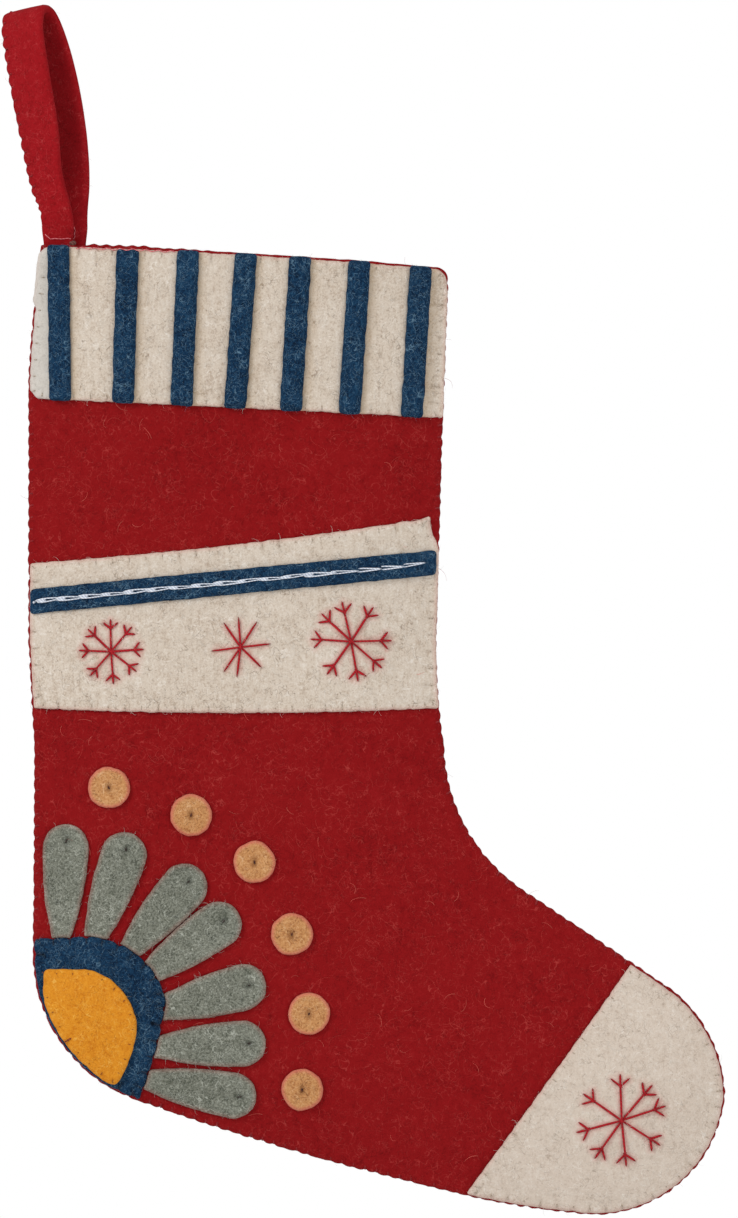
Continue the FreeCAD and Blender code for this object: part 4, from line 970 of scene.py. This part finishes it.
def cuff_outline(ring):
    """The cuff's outline: lapped over the seam by the mouth too, and both left corners cut off."""
    ring = lapped_end(ring)
    left, top = ring[:, 0].min(), ring[:, 1].max()
    lapped = np.clip((ring[:, 1] - top + 25) / 3, 0, 1) * (ring[:, 0] < left + 12)
    ring[:, 0] -= MOUTH_LAP * lapped
    for up, cut in CORNER_CUTS:
        reach = ring[:, 0] - up * ring[:, 1]
        over = np.where(ring[:, 0] < left + 14, np.maximum(0, reach.min() + cut - reach), 0)
        ring += over[:, None] * (0.5, -up * 0.5)
    return ring


def band_corner(ring):
    """The ankle band's outline, lapped at its end, with a sharp upper right corner."""
    ring = lapped_end(ring)
    corner = ring[np.argmax(ring[:, 0] * 0.5 + ring[:, 1])]
    return ring + np.exp(-(np.linalg.norm(ring - corner, axis=1) / 1.8) ** 2)[:, None] * BAND_POINT


def sun_corner(ring):
    """The sun's outline with its upper corner cut back from the seam."""
    ring = spaced(ring, 0.5)
    ring[:, 0] = np.maximum(ring[:, 0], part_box("heel_sun")[0][0] / MM + SUN_SHORT)
    return ring


def right_edge(node):
    """The right-hand edge of an upright strip of felt, from its foot to its head."""
    ring = Faces(node, FRONT).ring
    low, high = ring[:, 1].min(), ring[:, 1].max()
    foot, head = ring[ring[:, 1] < low + 4], ring[ring[:, 1] > high - 4]
    return foot[np.argmax(foot[:, 0])], head[np.argmax(head[:, 0])]


PANEL_CUT = {"dents": SEAM_FEET, "seam": SEAM_FEET, "dent_depth": 0.7, "roll": 1.2}
FIRST_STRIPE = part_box("cuff_stripe_1")[0][0] / MM
# the stripes' right-hand edges, beside which warm shadow is painted on the cuff
CUFF_STRIPE_SHADOWS = [right_edge(f"cuff_stripe_{number}") for number in range(1, 8)]
band = ticks_of("ankle_band", BAND_TICKS)
band["presses"].append((BAND_FLAKES, 0.7, 0.3, 0.0))
toe = ticks_of("toe_patch", TOE_TICKS)
toe["presses"].append((FLAKES["toe_snowflake"], 0.7, 0.3, 0.0))
felt("front_panel_felt", "front_panel", FRONT, "red_felt", 1, reshape=mouth_lip, **PANEL_CUT)
felt("back_panel_felt", "back_panel", BACK, "red_felt", 2, **PANEL_CUT)
# the cuff: its left strip painted in a cooler, paler light, and warm shadow painted beside its stripes
felt("cuff_felt", "cuff_band", FRONT, "cream_felt", 3, washed=FIRST_STRIPE + 1, reshape=cuff_outline,
     stains=CUFF_STRIPE_SHADOWS, rim_dust=0.35, **ticks_of("cuff_band", CUFF_TICKS, darkness=0.7))
felt("ankle_band_felt", "ankle_band", FRONT, "cream_felt", 4, tints=BAND_FLAKES, rim_dust=0.5,
     reshape=band_corner, **band)
felt("toe_patch_felt", "toe_patch", FRONT, "cream_felt", 5, tints=FLAKES["toe_snowflake"], wobble=0.2,
     rim_dust=0.4, wool="toe_felt", **toe)
felt("heel_disc_felt", "heel_disc", FRONT, "blue_felt", 6, grain=1.6, dent_depth=0.8,
     **ticks_of("heel_disc", DISC_TICKS, 0.8, 0.75, 1.5))
felt("heel_sun_felt", "heel_sun", FRONT, "yellow_felt", 7, grain=1.4, worn=8, reshape=sun_corner,
     **ticks_of("heel_sun", SUN_TICKS, 0.5, 0.4, 0.4, 0.8))
# the chain presses a shallow hollow into the ribbon, with a little painted shade
felt("ribbon_felt", "ribbon_strip", FRONT, "blue_felt", 8, grain=1.4, presses=[(CHAIN, 0.9, 0.5, 0.15)],
     roll=1.1, worn=3, plump=0.2)
for number in range(1, 8):
    stripe = (lambda ring: stripe_ends(ring, 0.0)) if number == 2 else stripe_ends
    felt(f"stripe_{number}_felt", f"cuff_stripe_{number}", FRONT, "blue_felt", 10 + number, grain=1.4,
         roll=1.3, wobble=0.34, worn=2, reshape=stripe, plump=0.7)
    # each petal is pressed in round its tacks, with painted shade in those hollows
    felt(f"petal_{number}_felt", f"petal_{number}", FRONT, "sage_felt", 20 + number, grain=1.5, roll=1.0,
         presses=[(PETAL_TACKS, 1.3, 0.55, 1.25)], rim_dust=0.35)
for number in range(1, 7):
    # each dot is pressed in round its tacks, with painted shade in those hollows
    felt(f"dot_{number}_felt", f"dot_{number}", FRONT, "tan_felt", 30 + number, grain=1.2, roll=0.9,
         presses=[(DOT_TACKS, 1.1, 0.55, 1.3)], wobble=0.4, rim_dust=1.5)


# ---- the hanging loop ----

LOOP = {"wide": 19.0, "thick": 4.0, "open": 19.5, "turn": 33.0, "bow": 2.0, "gap": 0.3, "taper": 0.7,
        "fullness": 0.75, "turn_share": 0.35, "tail": 23.0, "tail_gap": 1.45, "tail_thick": 2.7,
        "tail_narrower": 1.6, "tail_ease": 0.45, "sewn_fuller": 1.5, "fold_fuller": 0.9,
        "fuller_from": 16.0, "crown": 1.5, "narrow": 4.0, "narrow_top": 0.9, "narrow_over": 32.0,
        "pinch": 3.0, "pinch_rise": 17.0, "pinch_over": 13.0, "pucker": 0.62, "swell": 0.22,
        "pucker_wide": 1.25}
FOLD = Vector((0.0148, 0, -0.0863)) / MM   # where the strip's two legs meet, at the hinge


def slow_ends(share):
    """A share from 0 to 1 that starts and stops softly."""
    share = min(1.0, max(0.0, share))
    return share * share * (3 - 2 * share)


class LoopPath:
    """The strip's middle line: up from the fold, over the hook seat and down again."""

    def __init__(self):
        self.up = Vector((-FOLD.x, 0, -FOLD.z)).normalized()
        self.length = FOLD.length + LOOP["thick"] / 2
        widest = math.acos(-LOOP["taper"] / (2 * LOOP["fullness"] + LOOP["taper"]))
        self.reach = (LOOP["open"] - LOOP["thick"]) / 2 / self.shape(widest)

    @staticmethod
    def shape(angle):
        """Half width of the loop, 0 at the fold and at the top."""
        side = math.sin(angle)
        full = math.copysign(abs(side) ** LOOP["fullness"], side)
        return full * abs(math.sin(angle / 2)) ** LOOP["taper"]

    def frame(self, rise):
        """Across the strip and from leg to leg, at a height."""
        share = slow_ends(rise / (LOOP["turn_share"] * self.length))
        turn = math.radians(LOOP["turn"]) * share
        side = (ACROSS * (1 - share) + BACKWARDS.cross(self.up) * share).normalized()
        wide = side * math.cos(turn) - BACKWARDS * math.sin(turn)
        return wide, side * math.sin(turn) + BACKWARDS * math.cos(turn)

    def point(self, angle):
        """Middle of the strip at an angle: 0 at the fold, half a turn at the top."""
        rise = self.length * (1 - math.cos(angle)) / 2
        _, apart = self.frame(rise)
        legs = (LOOP["thick"] + LOOP["gap"]) / 2
        half = self.reach * self.shape(angle) + legs * math.cos(angle / 2)
        share = rise / self.length
        crown = self.up * LOOP["crown"] * max(0.0, share * 4 - 3) ** 2
        bow = Vector((4 * share * (1 - share) * LOOP["bow"], 0, 0))
        return FOLD + self.up * rise + apart * half + crown + bow

    def place(self, angle):
        """Middle, width direction and thickness direction at an angle."""
        ahead = self.point(min(angle + 0.01, 2 * math.pi))
        behind = self.point(max(angle - 0.01, 0))
        wide, _ = self.frame(self.length * (1 - math.cos(angle)) / 2)
        return self.point(angle), wide, (ahead - behind).cross(wide).normalized()


loop_path = LoopPath()

# The folded strip across: from inside the fold, along one ply to its sewn edge, over it and round the fold.
STRIP_SECTION = [(0.80, 0.0), (0.66, 0.05), (-0.10, 0.05), (-0.86, 0.06), (-0.955, 0.30), (-0.985, 0.62),
                 (-0.94, 0.92), (-0.80, 1.06), (-0.55, 1.05), (-0.20, 1.02), (0.20, 1.02), (0.55, 1.0),
                 (0.78, 0.94), (0.91, 0.74), (0.985, 0.40), (1.0, 0.0)]
STRIP_SECTION = STRIP_SECTION + [(wide, -thick) for wide, thick in reversed(STRIP_SECTION[1:-1])]


def strip_rings():
    """Places along the strip from one tail end, over the top, to the other, with how thick it is there."""
    rings = []
    steps = 16
    tail_top = loop_path.place(0)[0]
    for step in range(steps):
        share = step / steps
        ease = slow_ends((1 - share) / LOOP["tail_ease"])
        apart = tail_top.y + (LOOP["tail_gap"] - tail_top.y) * ease
        thick = LOOP["thick"] + (LOOP["tail_thick"] - LOOP["thick"]) * ease
        middle = Vector((FOLD.x, apart, FOLD.z - LOOP["tail"] * (1 - share)))
        rings.append((middle, ACROSS, thick, LOOP["wide"] - LOOP["tail_narrower"] * ease))
    count = 240
    angles = [2 * math.pi * step / (4 * count) for step in range(4 * count + 1)]
    points = [loop_path.point(angle) for angle in angles]
    ways = [0.0]
    for first, second in zip(points, points[1:]):
        ways.append(ways[-1] + (second - first).length)
    for step in range(count + 1):
        angle = float(np.interp(ways[-1] * step / count, ways, angles))
        middle, wide, _ = loop_path.place(angle)
        rings.append((middle, wide, LOOP["thick"], LOOP["wide"]))
    tail = [(Vector((middle.x, -middle.y, middle.z)), wide, thick, width)
            for middle, wide, thick, width in reversed(rings[:steps])]
    return eased(rings + tail)


def eased(rings):
    """The strip's places with their course smoothed, so that it bends softly at the fold line."""
    middles = np.array([tuple(ring[0]) for ring in rings])
    for _ in range(8):
        middles[1:-1] = (middles[:-2] + 2 * middles[1:-1] + middles[2:]) / 4
    return [(Vector(middle),) + ring[1:] for middle, ring in zip(middles, rings)]


def fuller(middle):
    """How much fuller the strip is than at its pressed root, 0 to 1."""
    return slow_ends((middle - FOLD).dot(loop_path.up) / LOOP["fuller_from"])


def narrower(middle):
    """How much the front leg's fold edge is turned away from the front, in millimetres."""
    rise = max(0.0, (middle - FOLD).dot(loop_path.up))
    pinch = LOOP["pinch"] * math.exp(-((rise - LOOP["pinch_rise"]) / LOOP["pinch_over"]) ** 2)
    return LOOP["narrow_top"] + LOOP["narrow"] * math.exp(-(rise / LOOP["narrow_over"]) ** 1.3) + pinch


def build_strip(stitch_places):
    """The folded felt strip as one piece, from its tail between the panels round the loop and back."""
    rings = strip_rings()
    sides = len(STRIP_SECTION)
    corners, pressed = [], []
    for index, (middle, wide, thick, width) in enumerate(rings):
        ahead = rings[min(index + 1, len(rings) - 1)][0] - rings[max(index - 1, 0)][0]
        level = ahead.cross(wide).normalized()
        pull = max(math.exp(-((middle - spot).length / LOOP["pucker_wide"]) ** 2) for spot in stitch_places)
        full = fuller(middle)
        on_front = min(1.0, max(0.0, (index / len(rings) - 0.5) / 0.05))
        less = on_front * narrower(middle)
        uneven = 0.75 + 1.0 * noise.noise(middle / 6.0)
        for across, deep in STRIP_SECTION:
            edge = max(0.0, -across - 0.4) / 0.6
            out = across * width / 2 + across * full * LOOP["sewn_fuller" if across < 0 else "fold_fuller"]
            out += edge * (pull * LOOP["pucker"] - (1 - pull) * LOOP["swell"]) * uneven
            out -= max(0.0, across) * less
            lump = noise.noise(middle / 9.0 + Vector((across * 2, deep * 2, 0))) * 0.25
            squeeze = deep * thick / 2 * (1 - 0.3 * pull * edge) + deep * lump
            corners.append(middle + wide * out + level * squeeze)
            # painted shade: darker where the stitches pucker the sewn edge, and a dark line along the gap
            # between the plies
            pressed.append(0.15 * pull * edge + (0.4 if abs(deep) < 0.2 and across < -0.7 else 0.0))
    faces = []
    for ring in range(len(rings) - 1):
        for step in range(sides):
            a, b = ring * sides + step, ring * sides + (step + 1) % sides
            faces.append([a, a + sides, b + sides, b])
    faces += [list(range(sides)), list(reversed(range((len(rings) - 1) * sides, len(rings) * sides)))]
    piece = mesh_piece("hanging_loop_felt", corners, faces, FELTS["loop_felt"], {"pressed": pressed})
    shape = bmesh.new()
    shape.from_mesh(piece.data)
    bmesh.ops.recalc_face_normals(shape, faces=shape.faces)
    shape.to_mesh(piece.data)
    shape.free()
    piece.data.shade_smooth()
    return piece


def loop_stitch_places():
    """Places of the loop's whip stitches: middle of the strip, run along it, rise across its plies."""
    angles = np.linspace(0, 2 * math.pi, 241)
    edges = []
    for angle in angles:
        middle, wide, _ = loop_path.place(float(angle))
        edges.append(np.array(tuple(middle - wide * LOOP["wide"] / 2)))
    found = []
    for corners in islands("loop_edge_stitches"):
        gaps = np.linalg.norm(np.array(edges) - corners.mean(axis=0), axis=1)
        found.append(loop_path.place(float(angles[int(np.argmin(gaps))])))
    return found


loop_places = loop_stitch_places()
# Below its last stitches the front leg is puckered at these heights over the fold.
LOW_PUCKERS = [loop_path.point(2 * math.pi - math.acos(1 - 2 * rise / loop_path.length))
               for rise in (12.2, 8.8, 5.4)]
loop_felt = build_strip([place[0] for place in loop_places] + LOW_PUCKERS)
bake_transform(loop_felt)
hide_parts("hanging_loop", "loop_tail")


# ---- sewing ----

BEFORE_FELTS = 12.0   # how far before the middle the nearest point of the felts is looked for


class Top:
    """The outer face of the felt pieces, found from the front."""

    def __init__(self, names):
        corners, faces = [], []
        for name in names:
            mesh = PIECES[name].data
            faces += [[len(corners) + index for index in face.vertices] for face in mesh.polygons]
            corners += [corner.co / MM for corner in mesh.vertices]
        self.tree = BVHTree.FromPolygons(corners, faces)

    def at(self, x, z):
        """The point of the front there."""
        hit = self.tree.ray_cast(Vector((x, -FAR_OFF, z)), BACKWARDS)[0]
        return hit or self.tree.find_nearest(Vector((x, -BEFORE_FELTS, z)))[0]


def lay_threads(name, node, segments, thread, slot, seed, radius, longer, weight, turn, proud):
    """Straight stitches on a felt's face; a weight gives each one's share of its length and thickness."""
    stitch = thread_template(name + "_stitch", radius)
    dice = random.Random(seed)
    places = []
    for start, end in segments:
        middle = (start + end) / 2
        share, thick = weight(dice, middle, float(np.linalg.norm(end - start)))
        first, second, centre = front.at(*start), front.at(*end), front.at(*middle)
        run = second - first
        depth = (min(first.y, second.y, centre.y) + centre.y) / 2 - radius * proud
        spot = Vector((middle[0], depth, middle[1]))
        places.append((spot, run.normalized(), OUTWARDS, (run.length * share + longer, thick, thick)))
    return rides(sew(name, stitch, places, THREADS[thread], seed, turn, 0.04), "stocking", slot, node)


def no_weight(_dice, _middle, _length):
    """Stitches that are all alike."""
    return 1.0, 1.0


def cream_weight(dice, _middle, _length):
    """Stitches that sink into the cream felt, some of them nearly out of sight."""
    return dice.uniform(0.35, 1.0), dice.uniform(0.6, 1.0)


def sun_weight(dice, middle, _length):
    """The sun's stitches: a few bold ones at its lower edge, the rest small."""
    low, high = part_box("heel_sun")
    bold = middle[1] < low[2] / MM + 24 and middle[0] < low[0] / MM + 24 and dice.random() < 0.6
    return (1.25, 1.15) if bold else (dice.uniform(0.1, 0.35), 0.45)


def tack_weight(dice, _middle, _length):
    """The petals' and dots' small tacks."""
    return dice.uniform(0.45, 0.75), dice.uniform(0.9, 1.3)


def flake_weight(dice, _middle, length):
    """A flake's stitches, with a thick knot where they cross."""
    return (1.0, 2.0) if length < 0.8 else (1.0, dice.uniform(0.85, 1.05))


front = Top([name for name in PIECES if name != "back_panel_felt"])

# Name: node, stitches, thread, slot, radius, how much longer, weight, how far askew, how proud of the felt.
IN_CREAM = ("cream", "cream_thread", 0.24, -0.5, cream_weight, 0.12, 0.0)
EDGINGS = {
    "cuff": ("cuff_stitches", CUFF_TICKS) + IN_CREAM,
    "ankle_band": ("ankle_band_stitches", BAND_TICKS) + IN_CREAM,
    "toe_patch": ("toe_patch_stitches", TOE_TICKS) + IN_CREAM,
    "heel_disc": ("heel_disc_stitches", DISC_TICKS, "blue", "blue_thread", 0.27, -0.8, no_weight, 0.08, 0.0),
    "heel_sun": ("heel_sun_stitches", SUN_TICKS, "sun", "dark_thread", 0.32, 0.2, sun_weight, 0.10, 0.2),
    "petal": ("petal_tacks", PETAL_TACKS, "tack", "dark_thread", 0.32, 0.0, tack_weight, 0.5, 0.1),
    "dot": ("dot_tacks", DOT_TACKS, "brown", "dark_thread", 0.32, 0.0, tack_weight, 0.5, 0.1),
}
for node in FLAKE_NODES:
    EDGINGS[node] = (node, FLAKES[node], "flake", "red_thread", 0.50, 0.1, flake_weight, 0.015, 0.6)
for seed, (name, (node, stitches, thread, slot, *shape)) in enumerate(EDGINGS.items(), 41):
    lay_threads(name + "_thread", node, stitches, thread, slot, seed, *shape)


# The chain's links: width, radius, how far one runs into the next and strays up or down, how proud it lies.
LINK = {"wide": 1.7, "radius": 0.24, "into_next": 1.1, "stray": 0.35, "proud": 0.34}


def sew_chain():
    """Chain stitch along the blue strip, each link a little uneven and caught by the next."""
    dice = random.Random(5)
    links = sorted((sorted(link, key=lambda end: end[0]) for link in CHAIN), key=lambda link: link[0][0])
    starts = [link[0] for link in links]
    starts[0] = starts[0] + (starts[1] - starts[0]) * 0.12
    places = []
    for start, stop in zip(starts, starts[1:] + [links[-1][1]]):
        first, last = front.at(*start), front.at(*stop)
        stray = Vector((0, 0, dice.choice((-LINK["stray"], LINK["stray"]))))
        last = last + (last - first).normalized() * LINK["into_next"] + stray
        run = last - first
        middle = (first + last) / 2 + OUTWARDS * LINK["proud"]
        places.append((middle, run.normalized(), OUTWARDS, (run.length, dice.uniform(0.75, 1.1), 1.0)))
    tail = front.at(*(starts[0] - (starts[1] - starts[0]) * 0.30))
    for rise in (0.5, 0.9):
        way = Vector((1, 0, rise)).normalized()
        places.append((tail + OUTWARDS * 0.1, way, OUTWARDS, (1.9, 0.35, 0.8)))
    link = link_template("chain_link", LINK["wide"], LINK["radius"])
    piece = sew("ribbon_chain_thread", link, places, THREADS["chain"], 49, 0.005, 0.01)
    return rides(piece, "stocking", "cream_thread", "ribbon_chain_stitch")


sew_chain()


# Whip stitches: how far in from the edge they go, half the height that they span, radius and slant.
SEAM_WHIP = {"reach": 1.4, "half": 2.35, "radius": 0.38, "slant": 1.0}
LOOP_WHIP = {"reach": 1.3, "half": 1.6, "radius": 0.34, "slant": 0.8}
SEAM_INSET, LOOP_INSET = 1.05, 1.6   # how far in from the panels' and the strip's edge their middles lie
SEAM_TALL, SEAM_LESS = 5.2, 1.6      # height of a seam stitch as drawn, and how much less than its solid's


def sew_seam():
    """Whip stitches over both panels' edges, all round the seam."""
    ring, into = PANEL_RING, inwards(PANEL_RING)
    places = []
    for corners in islands("seam_stitches"):
        x, _, z = corners.mean(axis=0)
        index = PANEL_TREE.find((x, z, 0))[1]
        foot, inner = ring[index], into[index]
        low, high = corners[:, 1].min(), corners[:, 1].max()
        spot = foot + inner * SEAM_INSET
        run = Vector((-inner[0], 0, -inner[1])).cross(OUTWARDS)
        size = (1.0, 1.0, (high - low - SEAM_LESS) / SEAM_TALL)
        places.append((Vector((spot[0], (low + high) / 2, spot[1])), run, OUTWARDS, size))
    stitch = whip_template("seam_whip", **SEAM_WHIP)
    piece = sew("seam_thread", stitch, places, THREADS["seam"], 50, 0.05, 0.06)
    return rides(piece, "stocking", "red_thread", "seam_stitches")


sew_seam()


def sew_loop():
    """Whip stitches over the strip's open edge."""
    places = []
    for middle, wide, level in loop_places:
        edge = middle - wide * (LOOP["wide"] / 2 - LOOP_INSET + fuller(middle) * LOOP["sewn_fuller"])
        run = (-wide).cross(level)
        places.append((edge, run, level, (1.0, 1.0, 1.0)))
    stitch = whip_template("loop_whip", **LOOP_WHIP)
    piece = sew("loop_edge_thread", stitch, places, THREADS["seam"], 51, 0.05, 0.06)
    return rides(piece, "loop", "red_thread", "loop_edge_stitches")


sew_loop()


RIM_THREAD = 0.20                       # radius of the thread along the loop's root and the mouth
MOUTH_RUN = (20.0, 62.0, 0.8)           # from where to where it runs along the mouth, and its step
MOUTH_WAVE, MOUTH_TURN = 0.35, 1.18     # how high it waves, and how fast
KNOT_SPOT = (18.6, -94.5)               # the knot's middle, across and up
KNOT_SIZE = Vector((1.5, 0.9, 1.0))     # its half size


def laid_thread(name, places):
    """A loose run of thread over what lies under it."""
    corners, faces = tube(places, [RIM_THREAD] * len(places))
    return mesh_piece(name, corners, faces, THREADS["rim"])


def leg_face(x, z):
    """The front of the strip's front leg, with room for the thread."""
    return Vector((x, leg_tree.ray_cast(Vector((x, -FAR_OFF, z)), BACKWARDS)[0].y - 0.05, z))


leg_tree = BVHTree.FromPolygons([corner.co / MM for corner in loop_felt.data.vertices],
                                [list(face.vertices) for face in loop_felt.data.polygons])
# The box of stitching that holds the strip's root, across and up.
ROOT_BOX = [(18.7, -87.2), (19.1, -88.6), (18.8, -90.0), (19.0, -91.4), (18.4, -92.2), (17.3, -92.3),
            (16.2, -92.1), (13.5, -92.4), (10.8, -92.2), (8.8, -92.4), (7.6, -91.4), (6.6, -90.4)]
box_thread = laid_thread("root_box_thread", [leg_face(x, z) for x, z in ROOT_BOX])
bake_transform(box_thread)


def mouth_run():
    """The course of the thread that closes the mouth beside the loop, waving over the cuff's edge."""
    cuff = Faces("cuff_band", FRONT).ring
    left, right = cuff[cuff[:, 0] < 30][:, 1].max(), cuff[cuff[:, 0] > 120][:, 1].max()
    places = []
    for x in np.arange(*MOUTH_RUN):
        z = np.interp(x, [4.0, 140.0], [left, right]) + 0.25 + MOUTH_WAVE * math.sin(x * MOUTH_TURN)
        places.append(front.at(x, z - 0.9) + Vector((0, -0.15, 0.9)))
    return places


rides(laid_thread("mouth_thread", mouth_run()), "stocking", "red_thread")


def tie_knot():
    """The brown knot where the box of stitching ends, on the cuff's upper edge."""
    shape = bmesh.new()
    bmesh.ops.create_icosphere(shape, subdivisions=2, radius=1.0)
    across, up = KNOT_SPOT
    spot = Vector((across, front.at(across, up - 0.3).y - 0.6, up))
    corners = []
    for corner in shape.verts:
        uneven = 1 + 0.12 * noise.noise(corner.co * 2)
        corners.append(spot + corner.co * KNOT_SIZE * uneven)
    faces = [[corner.index for corner in face.verts] for face in shape.faces]
    piece = mesh_piece("root_knot", corners, faces, THREADS["knot"])
    shape.free()
    return piece


rides(tie_knot(), "stocking", "dark_thread")


# ---- stray fibres on the felts ----

def faces_rim(face):
    """A face on the rolled edge of a cut piece, seen from the front."""
    return -0.75 < face.normal.y < 0.1


def faces_front(face):
    """A face that looks out of the front."""
    return face.normal.y < -0.5


def well_inside(face):
    """A face of the front well away from the seam."""
    middle = face.calc_center_median() / MM
    return face.normal.y < -0.5 and PANEL_TREE.find((middle.x, middle.z, 0))[2] > 6


def faces_back(face):
    """A face that looks out of the back."""
    return face.normal.y > 0.3 and face.calc_center_median().y > 0.003


def over_root(face):
    """A face of the loop over its root."""
    return face.calc_center_median().z > FOLD.z * MM + 0.004


def named(*starts):
    """The felt pieces whose names start so."""
    return [PIECES[name] for name in PIECES if name.startswith(starts)]


BLUE_PIECES, CREAM_PIECES = named("stripe", "ribbon", "heel_disc"), named("cuff", "ankle", "toe")
RED_PIECES, BACK_PIECES, PETALS = named("front_panel"), named("back_panel"), named("petal")
# Name, pieces, faces, slot, colour, fibres a square metre, shortest, longest, how far they stand, thickness.
STRAYS = [
    ("red_strays", RED_PIECES, well_inside, "red_felt", (200, 74, 66), 6500, 2.5, 8.0, 0.12, 0.008),
    ("red_curls", RED_PIECES, well_inside, "red_felt", (236, 116, 102), 1600, 2.5, 7.0, 0.25, 0.014),
    ("red_nap", RED_PIECES, faces_front, "red_felt", (172, 40, 40), 70000, 0.8, 2.4, 0.3, 0.009),
    ("back_strays", BACK_PIECES, faces_back, "red_felt", (190, 66, 60), 8000, 2.5, 8.5, 0.12, 0.009),
    ("loop_strays", [loop_felt], over_root, "red_felt", (200, 66, 68), 16000, 1.5, 5.0, 0.25, 0.010),
    ("cream_strays", CREAM_PIECES, faces_front, "cream_felt", (238, 230, 218), 110000, 1.2, 4.5, 0.3, 0.014),
    ("cream_dark_strays", CREAM_PIECES, faces_front, "cream_felt", (150, 130, 110), 60000, 0.8, 2.6, 0.06,
     0.012),
    ("cream_fringe", CREAM_PIECES, faces_rim, "cream_felt", (236, 224, 210), 900000, 0.6, 1.6, 0.5, 0.022),
    ("blue_fringe", BLUE_PIECES, faces_rim, "blue_felt", (52, 86, 114), 900000, 0.6, 1.5, 0.5, 0.022),
    ("sage_fringe", PETALS, faces_rim, "sage_felt", (150, 150, 138), 700000, 0.5, 1.2, 0.5, 0.022),
    ("blue_strays", BLUE_PIECES, faces_front, "blue_felt", (118, 152, 176), 420000, 0.9, 3.2, 0.22, 0.013),
    ("sage_strays", PETALS, faces_front, "sage_felt", (190, 194, 184), 200000, 1.0, 3.6, 0.25, 0.016),
    ("sage_dark_strays", PETALS, faces_front, "sage_felt", (58, 62, 54), 120000, 1.0, 3.0, 0.15, 0.016),
    ("sun_strays", named("heel_sun"), faces_front, "yellow_felt", (250, 196, 92), 110000, 0.8, 2.4, 0.3,
     0.016),
    ("dot_strays", named("dot"), faces_front, "tan_felt", (236, 198, 152), 150000, 0.8, 2.6, 0.3, 0.016),
]
for seed, (name, pieces, keep, slot, *growth) in enumerate(STRAYS, 70):
    rides(grow_fibres(name, pieces, keep, *growth, seed), "loop" if keep is over_root else "stocking", slot)


# ---- room, light and camera ----

VIEW_MIDDLE = Vector((0.1430, -0.012, -0.2482))   # middle of the picture, on the stocking's front
VIEW_HEIGHT = 0.5116                              # height of the picture there, metres
VIEW_DISTANCE = 3.2
SENSOR = 36.0
FLOOR_DROP, FLOOR_REACH = 0.42, 1.9               # how far below the middle the floor lies, and its reach
ROOM_GLOW = 0.59                                  # light from the room all round
# Each lamp's place from the picture's middle, its side in metres and its power in watts.
LAMPS = {"key": ((-1.75, -1.60, 1.2), 0.9, 26.5), "fill": ((1.7, -1.9, -0.1), 1.5, 18)}


def add_camera():
    """Straight on from the front through a long lens."""
    lens = bpy.data.cameras.new("camera")
    camera = in_scene("camera", lens)
    lens.sensor_fit = "AUTO"
    lens.sensor_width = SENSOR
    lens.lens = SENSOR * VIEW_DISTANCE / VIEW_HEIGHT
    camera.location = VIEW_MIDDLE - Vector((0, VIEW_DISTANCE, 0))
    camera.rotation_euler = (math.pi / 2, 0, 0)
    lens.clip_start, lens.clip_end = 0.1, 50
    bpy.context.scene.camera = camera


def add_lamp(name, place, size, power):
    """A square soft lamp that looks at the stocking."""
    light = bpy.data.lights.new(name, "AREA")
    light.shape, light.size, light.energy = "SQUARE", size, power
    lamp = in_scene(name, light)
    lamp.location = VIEW_MIDDLE + Vector(place)
    lamp.rotation_euler = Vector(place).to_track_quat("Z", "Y").to_euler()


def add_room():
    """A pale floor well below the toe, and an even pale room that the camera sees as white."""
    world = bpy.data.worlds.new("room")
    bpy.context.scene.world = world
    world.use_nodes = True
    make = Nodes(world.node_tree)
    ray = make.add("ShaderNodeLightPath").outputs
    seen = make.math("MAXIMUM", ray["Is Camera Ray"], ray["Is Glossy Ray"])
    seen = make.math("MAXIMUM", seen, ray["Is Transmission Ray"])
    glow, white = (make.add("ShaderNodeBackground", label, Color=(1, 1, 1, 1), Strength=strength).outputs[0]
                   for label, strength in (("glow", ROOM_GLOW), ("white", 1.0)))
    both = make.add("ShaderNodeMixShader", i0=seen, i1=glow, i2=white).outputs[0]
    make.add("ShaderNodeOutputWorld", Surface=both)
    corners = [(VIEW_MIDDLE.x + x * FLOOR_REACH, y * FLOOR_REACH, VIEW_MIDDLE.z - FLOOR_DROP)
               for x, y in ((-1, -1), (1, -1), (1, 1), (-1, 1))]
    mesh = bpy.data.meshes.new("floor")
    mesh.from_pydata(corners, [], [[0, 1, 2, 3]])
    pale = Paint("pale_floor").finished("floor", Base_Color=(0.86, 0.86, 0.86, 1), Roughness=0.9)
    mesh.materials.append(pale)
    in_scene("floor", mesh)


add_camera()
add_room()
for name, lamp in LAMPS.items():
    add_lamp(name, *lamp)
bpy.context.scene.view_settings.view_transform = "Standard"
